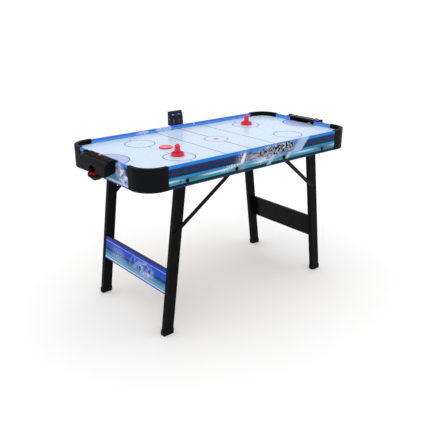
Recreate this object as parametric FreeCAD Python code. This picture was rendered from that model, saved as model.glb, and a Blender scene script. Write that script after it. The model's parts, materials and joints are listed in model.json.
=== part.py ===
import FreeCAD, Part
import math
import os

# Air hockey table, 4 foot class, on two folding leg frames.  Millimetres, +Z up, floor at Z = 0.
# +X runs along the table, +Y across it towards the score unit.  Everything is drawn about the
# middle of the playfield and moved at export so that the origin is under the middle of the
# whole object, which the score unit makes wider on the +Y side.

Vector = FreeCAD.Vector

PAST = 1.0                    # cutting tools run this far past a face, or further:
FAR_PAST = 5.0
OVERLAP = 1.0                 # pieces of one solid run this far into each other

# ---- Table box ----
TABLE_LENGTH = 1220.0
TABLE_WIDTH = 610.0
TABLE_HEIGHT = 760.0          # top of the rails
APRON_HEIGHT = 95.0
APRON_THICKNESS = 12.0
APRON_EDGE_ROUND = 4.0
CORNER_RADIUS = 88.0          # outer face of the aprons, carried round the corner
RAIL_DEPTH = 19.0             # rail top above the playing surface
BOARD_THICKNESS = 3.0         # playfield and bottom board
CHAMBER_HEIGHT = 20.0
GROOVE_DEPTH = 4.0            # aprons hold both boards in grooves
GROOVE_CLEARANCE = 0.15
BOARD_EDGE_CLEARANCE = 0.5
AIR_HOLE_PITCH = 32.0
AIR_HOLE_RADIUS = 0.8
AIR_HOLE_MARGIN = 22.0
BATTEN_WIDTH = 12.0
BATTEN_INSET = 165.0          # from the apron's outer face to the long battens
BATTEN_GAP = 100.0            # half of the gap in the middle of the long battens
BATTEN_END_INSET = 130.0
CROSS_BATTEN_X = 240.0

# ---- Corner caps and blocks ----
CAP_OVERLAP = 24.0            # how far a cap runs along the straight apron
CAP_WALL = 2.0
CAP_CLEARANCE = 0.2
CAP_BAND = 0.6                # the upper band stands this far out
CAP_BAND_HEIGHT = 23.0
CAP_ROUND = 2.2
BLOCK_HEIGHT = 18.0
BLOCK_BOTTOM_ABOVE_APRON = 15.0
BLOCK_START = 180.0           # from the table's end to the block's long point
BLOCK_LONG_SIDE = 70.0
BLOCK_END_START = 155.0       # from the table's side to the block's point on the end apron
BLOCK_END_SIDE = 45.0

# ---- Folding legs ----
PIVOT_INSET = 203.0           # leg pivot from the table's end
PIVOT_BELOW_TOP = 71.3
LEG_SPLAY = 7.35              # degrees out from vertical
LEG_WIDTH = 46.0
LEG_THICKNESS = 23.0
LEG_FACE_LEFT = 35.0          # leg's outer face, in from the apron's outer face
LEG_NEST_GAP = 4.0            # the right frame folds inside the left one
FOOT_SOLE = 4.0
FOOT_HEIGHT = 24.0
FOOT_WALL = 1.5
FOOT_CLEARANCE = 0.15
PANEL_THICKNESS = 12.0
PANEL_BOTTOM = 182.0
PANEL_HEIGHT = 112.0
PANEL_SETBACK = 1.5
PANEL_ROUND = 1.0

# ---- Braces ----
BRACE_SPAN = 264.0            # from the leg pivot to the brace pivot, along the apron
BRACE_LEG_DISTANCE = 226.6    # from the leg pivot down the leg to the brace bolt
BRACE_LEG_OFFSET = 8.0        # brace bolt outward of the leg's centre line
BRACE_WIDTH = 18.0
BRACE_THICKNESS = 3.0
BRACE_APRON_GAP = 3.0
BRACE_LEG_GAP = 0.3
BRACE_FLAT_AT_APRON = 60.0
BRACE_FLAT_AT_LEG = 25.0

# ---- Fasteners ----
RUNNING_CLEARANCE = 0.06      # bolts that something turns on
HOLE_CLEARANCE = 0.1
HEAD_RADIUS = 8.5
HEAD_HEIGHT = 3.5
PIVOT_BOLT_RADIUS = 4.0
BRACE_BOLT_RADIUS = 3.0
SPACER_RADIUS = 10.0
WASHER_RADIUS = 7.0
NUT_HEIGHT = 5.0
NUT_RADIUS = 6.5
PIVOT_NUT_RADIUS = 7.5
BOLT_TIP = 1.0                # past its nut
NUT_GAP = 0.5
SCREW_RADIUS = 1.8
SCREW_HEAD_RADIUS = 3.0
SCREW_HEAD_HEIGHT = 1.2
SCREW_LENGTH = 25.0
FAN_SCREW_REACH = 4.0         # past the bottom board
GOAL_SCREW_REACH = 6.0        # past the end apron
UNIT_SCREW_LENGTH = 8.0
CORNER_SCREW_INSET = 169.0    # from the table's end, on the long aprons
CORNER_SCREW_INSET_END = 130.0
CORNER_SCREW_BELOW_TOP = 70.0

# ---- Goals ----
GOAL_HALF_WIDTH = 75.0
GOAL_OPENING_CLEARANCE = 7.5  # above the puck
GOAL_FRAME_WALL = 3.0
GOAL_FRAME_LIP = 5.0
GOAL_FRAME_LIP_THICKNESS = 2.0
GOAL_FRAME_CLEARANCE = 0.3
GOAL_SILL_DROP = 0.2
BOX_HALF_WIDTH = 101.0
BOX_DEPTH = 50.0
BOX_WALL = 2.5
BOX_ROUND = 28.0
BOX_BACK_HEIGHT = 47.0        # at the apron
BOX_FRONT_HEIGHT = 62.0
BOX_END_ROUND = 3.0
ARCH_CLEARANCE = 0.5          # round the tray's bore
TRAY_SIDE_GAP = 2.0           # between the puck and the tray
TRAY_FRONT_GAP = 1.0
TRAY_WALL = 2.0
TRAY_LIP_BELOW_TOP = 63.0
TRAY_LIP_ABOVE_PUCK = 3.0
TRAY_CHIN_BELOW_TOP = 93.0
TRAY_CHIN_RADIUS = 9.0
TRAY_CHIN_FORWARD = 5.0       # of the tray's centre
TRAY_CHIN_BACK = 26.0
TRAY_BACK_HEIGHT = 34.0
TRAY_GAP = 0.3
BOSS_RADIUS = 5.5
BOSS_LENGTH = 14.0
BOSS_END = 2.0
TRAY_SCREW_DROP = 11.0        # below the tray's floor
TRAY_SCREW_INSET = 6.0
TRAY_SCREW_HOLE = 8.0

# ---- Score counters on the goals ----
RAIL_HALF_LENGTH = 111.0
RAIL_BACK = -10.0
RAIL_FRONT = 27.0
RAIL_PLATE = 2.5
RAIL_RIDGE_OUT = 3.0          # from the apron's face
RAIL_RIDGE = 4.0
RAIL_RIDGE_HEIGHT = 6.0
RAIL_LIP = 2.5
RAIL_LIP_HEIGHT = 4.0
RAIL_END_WALL = 4.0
RAIL_END_HEIGHT = 8.5
RAIL_END_ROUND_OUT = 5.0
RAIL_END_ROUND_IN = 3.5
RAIL_RIDGE_ROUND = 1.0
ROD_RADIUS = 1.5
ROD_OUT = 13.0
ROD_ABOVE_TOP = 6.4
SLIDER_RADIUS = 3.7
SLIDER_LENGTH = 14.0
SLIDER_GRIP_WIDTH = 7.4
SLIDER_GRIP_TOP = 12.5
SLIDER_GRIP_ROUND = 3.0
LEFT_SLIDER_Y = -8.0
RIGHT_SLIDER_Y = -80.0

# ---- Pushers and pucks ----
PUSHER_RADIUS = 29.0
PUSHER_RIM_HEIGHT = 14.0
PUSHER_RIM_WALL = 4.0
PUSHER_FLOOR = 5.0
PUSHER_HANDLE_BASE = 13.5
PUSHER_HANDLE_TOP = 12.0
PUSHER_HEIGHT = 51.0
PUSHER_FOOT_ROUND = 2.0
PUSHER_RIM_ROUND = 1.8
PUSHER_RECESS_TAPER = 2.0
LEFT_PUSHER_X = -323.0
LEFT_PUSHER_Y = -129.0
RIGHT_PUSHER_X = 334.0
RIGHT_PUSHER_Y = 150.0
PUCK_RADIUS = 30.5
PUCK_THICKNESS = 6.0
PUCK_RECESS = 1.0
PUCK_RECESS_RADIUS = 24.0
PUCK_CHAMFER = 0.8
GOAL_PUCK_BACK_GAP = 1.0      # between the puck in the tray and the tray's back wall
FIELD_PUCK_X = -283.0
FIELD_PUCK_Y = 12.0

# ---- Score unit on the far rail ----
UNIT_HALF_WIDTH = 40.0
UNIT_BELOW_TOP = 2.0
UNIT_HEIGHT = 70.0
UNIT_FRONT_OFFSET = 5.0       # case front from the apron's outer face, at the foot
UNIT_TOP_OFFSET = 18.0
UNIT_BACK_OFFSET = 24.0
UNIT_COVER = 4.0
UNIT_WALL = 2.0
UNIT_BEND = 60.0
UNIT_BEND_PLACE = 0.6         # of the case's height
UNIT_BEND_SET = 2.0
UNIT_BACK_ROUND = 3.0
UNIT_SCREW_X = 10.0
UNIT_SCREW_OFFSET = 10.0      # from the apron's outer face
WINDOW_HALF_SPACING = 18.0
WINDOW_WIDTH = 14.0
WINDOW_HEIGHT = 20.0
WINDOW_MIDDLE = 22.0          # above the case's foot
DISPLAY_CLEARANCE = 0.3
DISPLAY_DEPTH = 7.0
CIRCUIT_THICKNESS = 1.6
CIRCUIT_MARGIN = 3.0          # past the outer windows, clear of the button
BUTTON_RADIUS = 3.5
BUTTON_CLEARANCE = 0.3
BUTTON_PROUD = 2.0
BUTTON_MIDDLE = 32.0
BUTTON_BACK = 10.0            # button centre in front of the case's back
BUTTON_STEM = 4.0             # inside the case's wall
BUTTON_FLANGE = 1.0
BUTTON_FLANGE_THICKNESS = 1.2
BRACKET_THICKNESS = 2.5
BRACKET_HALF_WIDTH = 25.0
BRACKET_DROP = 60.0
BRACKET_SCREW_X = 15.0
BRACKET_SHELF_SETBACK = 1.0

# ---- Blower, inlet and switch ----
FAN_HALF = 60.0
FAN_HEIGHT = 25.0
FAN_BORE = 55.0
FAN_SCREW = 52.5
FAN_STRUT = 5.0
FAN_STRUT_HEIGHT = 3.0
FAN_ROUND = 4.0
FAN_STRUT_ROOT = 2.0
MOTOR_RADIUS = 16.0
MOTOR_HEIGHT = 12.0
SHAFT_RADIUS = 1.5
SHAFT_TIP = 1.0
HUB_RADIUS = 20.0
HUB_WEB = 2.5
ROTOR_CLEARANCE = 0.5
BLADE_COUNT = 7
BLADE_THICKNESS = 1.6
BLADE_PITCH = 42.0
BLADE_TIP_CLEARANCE = 2.5
HUB_SKIRT_CLEARANCE = 1.0
GUARD_THICKNESS = 2.2
GUARD_RING_WIDTH = 2.5
GUARD_RING_INSET = 1.0
GUARD_TAB_MARGIN = 1.0
GUARD_RING_PITCH = 10.0
INLET_X = 85.0
SWITCH_X = -85.0
POWER_BELOW_TOP = 70.0
INLET_FLANGE_RADIUS = 7.5
INLET_BODY_RADIUS = 5.5
INLET_BORE_RADIUS = 3.0
INLET_PIN_RADIUS = 1.1
INLET_DEPTH = 20.0
INLET_FLANGE = 2.0
SWITCH_HALF_LENGTH = 9.5
SWITCH_HALF_HEIGHT = 6.5
SWITCH_FLANGE = 1.8
SWITCH_DEPTH = 18.0
SWITCH_POCKET_DEPTH = 9.0
SWITCH_WALL = 1.5
ROCKER_CLEARANCE = 0.3
ROCKER_TILT = 8.0
ROCKER_END_RISE = 5.5
ROCKER_DISH = 1.5
ROCKER_BELLY = 4.0
ROCKER_HEEL = 1.0
ROCKER_ROUND = 0.8
ROCKER_PIVOT_RADIUS = 1.0
ROCKER_PIN_SEAT = 1.0         # how far the trunnions' seats run into the walls
ROCKER_PIVOT_DEPTH = 3.5      # pivot behind the apron's outer face
WIRE_RADIUS = 2.0
WIRE_BEND = 10.0
WIRE_BEND_SHARE = 0.8         # of the last run, at most

# ---- Derived places ----
HALF_LENGTH = TABLE_LENGTH / 2
HALF_WIDTH = TABLE_WIDTH / 2
TOP = TABLE_HEIGHT
APRON_BOTTOM = TOP - APRON_HEIGHT
STRAIGHT_X = HALF_LENGTH - CORNER_RADIUS
STRAIGHT_Y = HALF_WIDTH - CORNER_RADIUS
GOAL_OPENING_HEIGHT = PUCK_THICKNESS + GOAL_OPENING_CLEARANCE
GOAL_PUCK_OUT = BOX_WALL + GOAL_PUCK_BACK_GAP + PUCK_RADIUS
TRAY_INNER_RADIUS = PUCK_RADIUS + TRAY_SIDE_GAP
TRAY_CENTRE = GOAL_PUCK_OUT + PUCK_RADIUS + TRAY_FRONT_GAP - TRAY_INNER_RADIUS
TRAY_CHIN_CENTRE = TRAY_CENTRE + TRAY_CHIN_FORWARD
TRAY_FLOOR_BELOW_TOP = TRAY_LIP_BELOW_TOP + PUCK_THICKNESS + TRAY_LIP_ABOVE_PUCK
ARCH_RADIUS = TRAY_INNER_RADIUS + ARCH_CLEARANCE
FIELD_TOP = TOP - RAIL_DEPTH
FIELD_BOTTOM = FIELD_TOP - BOARD_THICKNESS
FLOOR_TOP = FIELD_BOTTOM - CHAMBER_HEIGHT
FLOOR_BOTTOM = FLOOR_TOP - BOARD_THICKNESS
BOARD_INSET = APRON_THICKNESS - GROOVE_DEPTH + BOARD_EDGE_CLEARANCE
INNER_FACE = HALF_WIDTH - APRON_THICKNESS
PIVOT_X = HALF_LENGTH - PIVOT_INSET
PIVOT_Z = TOP - PIVOT_BELOW_TOP
BRACE_X = PIVOT_X - BRACE_SPAN
SPLAY = math.radians(LEG_SPLAY)
LEG_FACE = {"left": HALF_WIDTH - LEG_FACE_LEFT}
LEG_FACE["right"] = LEG_FACE["left"] - LEG_THICKNESS - LEG_NEST_GAP
BRACE_FACE = INNER_FACE - BRACE_APRON_GAP
UNIT_BACK = HALF_WIDTH + UNIT_BACK_OFFSET + UNIT_COVER
FRAME_SHIFT = Vector(0, (HALF_WIDTH + HEAD_HEIGHT - UNIT_BACK) / 2, 0)
SIDES = {"left": -1, "right": 1}
ROWS = {"front": -1, "rear": 1}


# ---- Drawing helpers ----
def box(low, high):
    """Block between two opposite corners, given in any order."""
    start = Vector(*[min(a, b) for a, b in zip(low, high)])
    size = [abs(b - a) for a, b in zip(low, high)]
    return Part.makeBox(size[0], size[1], size[2], start)


def rod(radius, start, end):
    """Cylinder from one point to another."""
    start, end = Vector(*start), Vector(*end)
    return Part.makeCylinder(radius, (end - start).Length, start, end - start)


def fuse(shapes):
    """One solid from pieces that touch or overlap."""
    return shapes[0].multiFuse(shapes[1:]).removeSplitter()


def cut(shape, tools):
    """The shape without the tools."""
    return shape.cut(tools)


def group(shapes):
    """Separate solids that share one node."""
    return Part.makeCompound(shapes)


def mirror_x(shape):
    return shape.mirror(Vector(0, 0, 0), Vector(1, 0, 0))


def mirror_y(shape):
    return shape.mirror(Vector(0, 0, 0), Vector(0, 1, 0))


def on_side(shape, side):
    """A piece drawn at the left end, placed at either end."""
    return shape if side == "left" else mirror_x(shape)


def on_all_corners(shape):
    """A piece drawn at the right front corner, at all four corners."""
    front = [shape, mirror_x(shape)]
    return front + [mirror_y(piece) for piece in front]


def round_corner(before, here, after):
    """Start, middle and end of the arc that rounds a corner (x, y, radius)."""
    if len(here) < 3:
        return here, None, here
    corner, radius = Vector(here[0], here[1], 0), here[2]
    back = (Vector(before[0], before[1], 0) - corner).normalize()
    on = (Vector(after[0], after[1], 0) - corner).normalize()
    half = back.getAngle(on) / 2
    reach = radius / math.tan(half)
    bisector = (back + on).normalize()
    middle = corner + bisector * (radius / math.sin(half) - radius)
    start, end = corner + back * reach, corner + on * reach
    return (start.x, start.y), (middle.x, middle.y), (end.x, end.y)


def outline(points, to_space):
    """Closed wire through 2-D points; a third number rounds that corner."""
    count = len(points)
    corners = [round_corner(points[i - 1], points[i], points[(i + 1) % count]) for i in range(count)]
    edges = []
    for index, (start, middle, end) in enumerate(corners):
        if middle is not None:
            arc = Part.Arc(to_space(*start[:2]), to_space(*middle), to_space(*end[:2]))
            edges.append(arc.toShape())
        following = to_space(*corners[(index + 1) % count][0][:2])
        here = to_space(*end[:2])
        if (following - here).Length > 1e-6:
            edges.append(Part.LineSegment(here, following).toShape())
    return Part.Wire(edges)


def plate(points, bottom, top, holes=()):
    """Flat plate with a rounded outline and round holes (x, y, radius)."""
    outer = outline(points, lambda x, y: Vector(x, y, bottom))
    wires = [outer]
    for x, y, radius in holes:
        circle = Part.Circle(Vector(x, y, bottom), Vector(0, 0, 1), radius)
        wires.append(Part.Wire(circle.toShape()))
    face = Part.makeFace(Part.makeCompound(wires), "Part::FaceMakerBullseye")
    return face.extrude(Vector(0, 0, top - bottom))


def bar_x(points, start, end):
    """Bar along X with a section in (y, z)."""
    face = Part.Face(outline(points, lambda y, z: Vector(start, y, z)))
    return face.extrude(Vector(end - start, 0, 0))


def bar_y(points, start, end):
    """Bar along Y with a section in (x, z)."""
    face = Part.Face(outline(points, lambda x, z: Vector(x, start, z)))
    return face.extrude(Vector(0, end - start, 0))


def hexagon_nut(radius, hole, place, low, high):
    """Hexagonal nut along Y at (x, z), between two Y values."""
    x, z = place
    corners = [math.radians(60 * k) for k in range(6)]
    points = [(x + radius * math.cos(a), z + radius * math.sin(a)) for a in corners]
    nut = bar_y(points, low, high)
    return cut(nut, [rod(hole, (x, low - PAST, z), (x, high + PAST, z))])


def rounded_rectangle(half_x, half_y, radius):
    """Points of a rectangle about the origin with equal corner rounds."""
    corners = ((-half_x, -half_y), (half_x, -half_y), (half_x, half_y), (-half_x, half_y))
    return [(x, y, radius) for x, y in corners]


# ---- Aprons: one section all round ----
def apron_section():
    """Section of an apron as (distance outward of its outer face, height)."""
    field_low = FIELD_BOTTOM - GROOVE_CLEARANCE
    field_high = FIELD_TOP + GROOVE_CLEARANCE
    floor_low = FLOOR_BOTTOM - GROOVE_CLEARANCE
    floor_high = FLOOR_TOP + GROOVE_CLEARANCE
    groove = GROOVE_DEPTH - APRON_THICKNESS
    return [
        (0, APRON_BOTTOM), (0, TOP, APRON_EDGE_ROUND), (-APRON_THICKNESS, TOP, APRON_EDGE_ROUND),
        (-APRON_THICKNESS, field_high), (groove, field_high), (groove, field_low),
        (-APRON_THICKNESS, field_low), (-APRON_THICKNESS, floor_high), (groove, floor_high),
        (groove, floor_low), (-APRON_THICKNESS, floor_low), (-APRON_THICKNESS, APRON_BOTTOM)]


def at_front(section):
    return [(-(HALF_WIDTH + p[0]), *p[1:]) for p in section]


def at_left_end(section):
    return [(-(HALF_LENGTH + p[0]), *p[1:]) for p in section]


def through_apron(radius, x, z):
    """Drill for a hole through the front apron."""
    return rod(radius, (x, -HALF_WIDTH - FAR_PAST, z), (x, -INNER_FACE + FAR_PAST, z))


def front_apron():
    apron = bar_x(at_front(apron_section()), -STRAIGHT_X, STRAIGHT_X)
    screw_x = HALF_LENGTH - CORNER_SCREW_INSET
    screw_z = TOP - CORNER_SCREW_BELOW_TOP
    drills = []
    for side in (-1, 1):
        drills.append(through_apron(PIVOT_BOLT_RADIUS + HOLE_CLEARANCE, side * PIVOT_X, PIVOT_Z))
        drills.append(through_apron(BRACE_BOLT_RADIUS + HOLE_CLEARANCE, side * BRACE_X, PIVOT_Z))
        drills.append(through_apron(SCREW_RADIUS + HOLE_CLEARANCE, side * screw_x, screw_z))
    return cut(apron, drills)


def rear_apron():
    apron = mirror_y(front_apron())
    outside, inside = HALF_WIDTH + FAR_PAST, INNER_FACE - FAR_PAST
    power_z = TOP - POWER_BELOW_TOP
    inlet_hole = rod(INLET_BODY_RADIUS + HOLE_CLEARANCE, (INLET_X, inside, power_z),
                     (INLET_X, outside, power_z))
    half_length = SWITCH_HALF_LENGTH + HOLE_CLEARANCE
    half_height = SWITCH_HALF_HEIGHT + HOLE_CLEARANCE
    switch_hole = box((SWITCH_X - half_length, inside, power_z - half_height),
                      (SWITCH_X + half_length, outside, power_z + half_height))
    bracket_holes = [rod(SCREW_RADIUS + HOLE_CLEARANCE, (x, inside, z), (x, outside, z))
                     for x, z in bracket_screw_places()]
    return cut(apron, [inlet_hole, switch_hole] + bracket_holes)


def goal_screw_places():
    """Screws (y, z) that hold a goal box and its tray to the end apron."""
    box_z = (FIELD_BOTTOM + FLOOR_TOP) / 2
    box_y = BOX_HALF_WIDTH - BOX_WALL / 2 - BOSS_RADIUS
    tray_z = TOP - TRAY_FLOOR_BELOW_TOP - TRAY_SCREW_DROP
    tray_y = TRAY_INNER_RADIUS - TRAY_SCREW_INSET
    return [(-box_y, box_z), (box_y, box_z), (-tray_y, tray_z), (tray_y, tray_z)]


def corner_end_screw_places():
    y = HALF_WIDTH - CORNER_SCREW_INSET_END
    z = TOP - CORNER_SCREW_BELOW_TOP
    return [(-y, z), (y, z)]


def left_end_apron():
    apron = bar_y(at_left_end(apron_section()), -STRAIGHT_Y, STRAIGHT_Y)
    outside = -HALF_LENGTH - FAR_PAST
    inside = -HALF_LENGTH + APRON_THICKNESS + FAR_PAST
    notch_half = GOAL_HALF_WIDTH + GOAL_FRAME_WALL + GOAL_FRAME_CLEARANCE
    notch = box((outside, -notch_half, FIELD_BOTTOM - GROOVE_CLEARANCE), (inside, notch_half, TOP + FAR_PAST))
    drills = [rod(SCREW_RADIUS + HOLE_CLEARANCE, (outside, y, z), (inside, y, z))
              for y, z in goal_screw_places() + corner_end_screw_places()]
    return cut(apron, [notch] + drills)


# ---- Boards and the air chamber ----
def board_outline():
    half_x, half_y = HALF_LENGTH - BOARD_INSET, HALF_WIDTH - BOARD_INSET
    return rounded_rectangle(half_x, half_y, CORNER_RADIUS - BOARD_INSET)


def air_holes():
    """Grid of air holes over the playing surface, clear of the rails and round the corners."""
    reach_x = HALF_LENGTH - APRON_THICKNESS - AIR_HOLE_MARGIN
    reach_y = HALF_WIDTH - APRON_THICKNESS - AIR_HOLE_MARGIN
    steps_x = int(reach_x // AIR_HOLE_PITCH)
    steps_y = int(reach_y // AIR_HOLE_PITCH)
    corner_reach = CORNER_RADIUS - APRON_THICKNESS - AIR_HOLE_MARGIN
    holes = []
    for i in range(-steps_x, steps_x + 1):
        for j in range(-steps_y, steps_y + 1):
            x, y = i * AIR_HOLE_PITCH, j * AIR_HOLE_PITCH
            past_x = max(abs(x) - STRAIGHT_X, 0)
            past_y = max(abs(y) - STRAIGHT_Y, 0)
            if math.hypot(past_x, past_y) < corner_reach:
                holes.append((x, y, AIR_HOLE_RADIUS))
    return holes


def playfield_board():
    return plate(board_outline(), FIELD_BOTTOM, FIELD_TOP, air_holes())


def bottom_board():
    corners = [(x, y, SCREW_RADIUS + HOLE_CLEARANCE) for x in (-FAN_SCREW, FAN_SCREW)
               for y in (-FAN_SCREW, FAN_SCREW)]
    fan = [(0, 0, FAN_BORE)]
    wire = [(SWITCH_X, switch_back() - SCREW_HEAD_RADIUS, WIRE_RADIUS + HOLE_CLEARANCE)]
    return plate(board_outline(), FLOOR_BOTTOM, FLOOR_TOP, fan + corners + wire)


def chamber_battens():
    """Wood strips that keep the two boards apart."""
    outer_y = HALF_WIDTH - BATTEN_INSET
    far_x = HALF_LENGTH - BATTEN_END_INSET
    pieces = []
    for side in (-1, 1):
        for row in (-1, 1):
            pieces.append(box((side * BATTEN_GAP, row * outer_y, FLOOR_TOP),
                              (side * far_x, row * (outer_y + BATTEN_WIDTH), FIELD_BOTTOM)))
        half = BATTEN_WIDTH / 2
        reach = outer_y - BOARD_EDGE_CLEARANCE
        pieces.append(box((side * CROSS_BATTEN_X - half, -reach, FLOOR_TOP),
                          (side * CROSS_BATTEN_X + half, reach, FIELD_BOTTOM)))
    return group(pieces)


# ---- Corners ----
def cap_section():
    """Inverted J over the rail: outer skin, top and a short inner wall."""
    gap = CAP_CLEARANCE
    outer = gap + CAP_WALL
    inner = -APRON_THICKNESS - gap
    band_z = TOP - CAP_BAND_HEIGHT
    return [
        (outer, APRON_BOTTOM), (outer, band_z - CAP_BAND), (outer + CAP_BAND, band_z),
        (outer + CAP_BAND, TOP + outer, CAP_ROUND), (inner - CAP_WALL, TOP + outer, CAP_ROUND),
        (inner - CAP_WALL, FIELD_TOP + gap), (inner, FIELD_TOP + gap), (inner, TOP + gap),
        (gap, TOP + gap), (gap, APRON_BOTTOM)]


def corner_cap():
    """Moulded cap at the right front corner."""
    section = cap_section()
    along = bar_x(at_front(section), STRAIGHT_X - CAP_OVERLAP, STRAIGHT_X)
    end_section = [(HALF_LENGTH + p[0], *p[1:]) for p in section]
    across = bar_y(end_section, -STRAIGHT_Y, -STRAIGHT_Y + CAP_OVERLAP)
    start = Part.Face(outline(section, lambda n, z: Vector(STRAIGHT_X, -(HALF_WIDTH + n), z)))
    turn = start.revolve(Vector(STRAIGHT_X, -STRAIGHT_Y, 0), Vector(0, 0, 1), 90)
    return fuse([along, turn, across])


def corner_block():
    """Wood block that ties the two aprons together behind a cap, right front."""
    inner_x = HALF_LENGTH - APRON_THICKNESS
    start_x = HALF_LENGTH - BLOCK_START
    start_y = HALF_WIDTH - BLOCK_END_START
    points = [(start_x, -INNER_FACE), (start_x + BLOCK_LONG_SIDE, -INNER_FACE),
              (inner_x, -start_y - BLOCK_END_SIDE), (inner_x, -start_y)]
    bottom = APRON_BOTTOM + BLOCK_BOTTOM_ABOVE_APRON
    block = plate(points, bottom, bottom + BLOCK_HEIGHT)
    screw_z = TOP - CORNER_SCREW_BELOW_TOP
    screw_x = HALF_LENGTH - CORNER_SCREW_INSET
    screw_y = HALF_WIDTH - CORNER_SCREW_INSET_END
    hole = SCREW_RADIUS + HOLE_CLEARANCE
    return cut(block, [
        rod(hole, (screw_x, -HALF_WIDTH, screw_z), (screw_x, -HALF_WIDTH + SCREW_LENGTH + PAST, screw_z)),
        rod(hole, (HALF_LENGTH, -screw_y, screw_z),
            (HALF_LENGTH - SCREW_LENGTH - PAST, -screw_y, screw_z))])


def screw(head_at, point_at, head_radius=SCREW_HEAD_RADIUS):
    """Screw whose head stands on a face at head_at and whose point is at point_at."""
    head, point = Vector(*head_at), Vector(*point_at)
    back = (head - point).normalize() * SCREW_HEAD_HEIGHT
    shank = Part.makeCylinder(SCREW_RADIUS, (point - head).Length, head, point - head)
    cap = Part.makeCylinder(head_radius, SCREW_HEAD_HEIGHT, head, back)
    return fuse([shank, cap])


def corner_screws():
    z = TOP - CORNER_SCREW_BELOW_TOP
    x = HALF_LENGTH - CORNER_SCREW_INSET
    y = HALF_WIDTH - CORNER_SCREW_INSET_END
    long_side = screw((x, -HALF_WIDTH, z), (x, -HALF_WIDTH + SCREW_LENGTH, z))
    end_side = screw((HALF_LENGTH, -y, z), (HALF_LENGTH - SCREW_LENGTH, -y, z))
    return on_all_corners(long_side) + on_all_corners(end_side)


# ---- Goals, drawn at the left end with u measured outward from the apron ----
def end_x(u):
    return -HALF_LENGTH - u


def goal_bar(points, start, end):
    """Bar along Y with a section in (u, z)."""
    return bar_y([(end_x(p[0]), *p[1:]) for p in points], start, end)


def goal_block(u0, u1, y0, y1, z0, z1):
    return box((end_x(u0), y0, z0), (end_x(u1), y1, z1))


def goal_frame():
    """Moulded lining of the goal mouth, with a lip on the playing side."""
    half, wall = GOAL_HALF_WIDTH, GOAL_FRAME_WALL
    sill = FIELD_TOP - GOAL_SILL_DROP
    above_board = FIELD_TOP + CAP_CLEARANCE
    inner = -APRON_THICKNESS
    board_edge = -BOARD_INSET + GOAL_FRAME_CLEARANCE
    sleeve = goal_block(inner, 0, -half - wall, half + wall, above_board, TOP)
    base = goal_block(board_edge, 0, -half - wall, half + wall, FIELD_BOTTOM, above_board)
    lip_half = half + wall + GOAL_FRAME_LIP
    lip = goal_block(inner - GOAL_FRAME_LIP_THICKNESS, inner, -lip_half, lip_half, above_board, TOP)
    mouth = goal_block(inner - FAR_PAST, FAR_PAST, -half, half, sill, sill + GOAL_OPENING_HEIGHT)
    return cut(fuse([sleeve, base, lip]), [mouth])


def goal_box_section(wall, back):
    """Side view of the goal box in (u, z), inset by a wall."""
    front, top = BOX_DEPTH - wall, TOP - wall
    slope = (BOX_FRONT_HEIGHT - BOX_BACK_HEIGHT) / BOX_DEPTH
    low_back = TOP - BOX_BACK_HEIGHT + wall
    return [(back, low_back - back * slope), (front, low_back - front * slope),
            (front, top, BOX_ROUND - wall), (back, top)]


def rounded_ends(shape, half_width, radius):
    """Rounds the outer edges of a shell's two end faces."""
    edges = []
    for edge in shape.Edges:
        ends = [v.Point for v in edge.Vertexes]
        at_end = all(abs(abs(p.y) - half_width) < 1e-3 for p in ends)
        on_apron = all(abs(p.x - end_x(0)) < 1e-3 for p in ends)
        if at_end and not on_apron and abs(ends[0].y - ends[-1].y) < 1e-3:
            edges.append(edge)
    return shape.makeFillet(radius, edges)


def goal_box():
    """Hollow hood that the puck drops into, with an arch at the front."""
    half = BOX_HALF_WIDTH
    hood = rounded_ends(goal_bar(goal_box_section(0, 0), -half, half), half, BOX_END_ROUND)
    inner_half = half - BOX_WALL
    hollow = goal_bar(goal_box_section(BOX_WALL, -PAST), -inner_half, inner_half)
    arch_z = TOP - TRAY_LIP_BELOW_TOP
    arch = rod(ARCH_RADIUS, (end_x(TRAY_CENTRE), 0, arch_z), (end_x(BOX_DEPTH + FAR_PAST), 0, arch_z))
    below = TOP - BOX_FRONT_HEIGHT - FAR_PAST
    drop = goal_block(BOX_WALL, BOX_DEPTH + FAR_PAST, -TRAY_INNER_RADIUS, TRAY_INNER_RADIUS,
                      below, arch_z + BOX_WALL)
    slot = goal_block(BOX_WALL, BOX_DEPTH - BOX_WALL, -TRAY_INNER_RADIUS, TRAY_INNER_RADIUS,
                      below, TOP - BOX_BACK_HEIGHT + 2 * BOX_WALL)
    shell = cut(hood, [hollow, arch, drop, slot])
    bosses = []
    drills = []
    for y, z in goal_screw_places()[:2]:
        bosses.append(rod(BOSS_RADIUS, (end_x(0), y, z), (end_x(BOSS_LENGTH), y, z)))
        drills.append(rod(SCREW_RADIUS + HOLE_CLEARANCE, (end_x(-PAST), y, z),
                          (end_x(BOSS_LENGTH - BOSS_END), y, z)))
    return cut(fuse([shell] + bosses), drills)


def tray_outline(back, centre, radius, z):
    """D shape in plan: straight sides from the back, then half a circle."""
    points = [(back, -radius), (centre, -radius), (centre, radius), (back, radius)]
    corners = [Vector(end_x(u), y, z) for u, y in points]
    nose = Vector(end_x(centre + radius), 0, z)
    return Part.Wire([
        Part.LineSegment(corners[0], corners[1]).toShape(),
        Part.Arc(corners[1], nose, corners[2]).toShape(),
        Part.LineSegment(corners[2], corners[3]).toShape(),
        Part.LineSegment(corners[3], corners[0]).toShape()])


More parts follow.
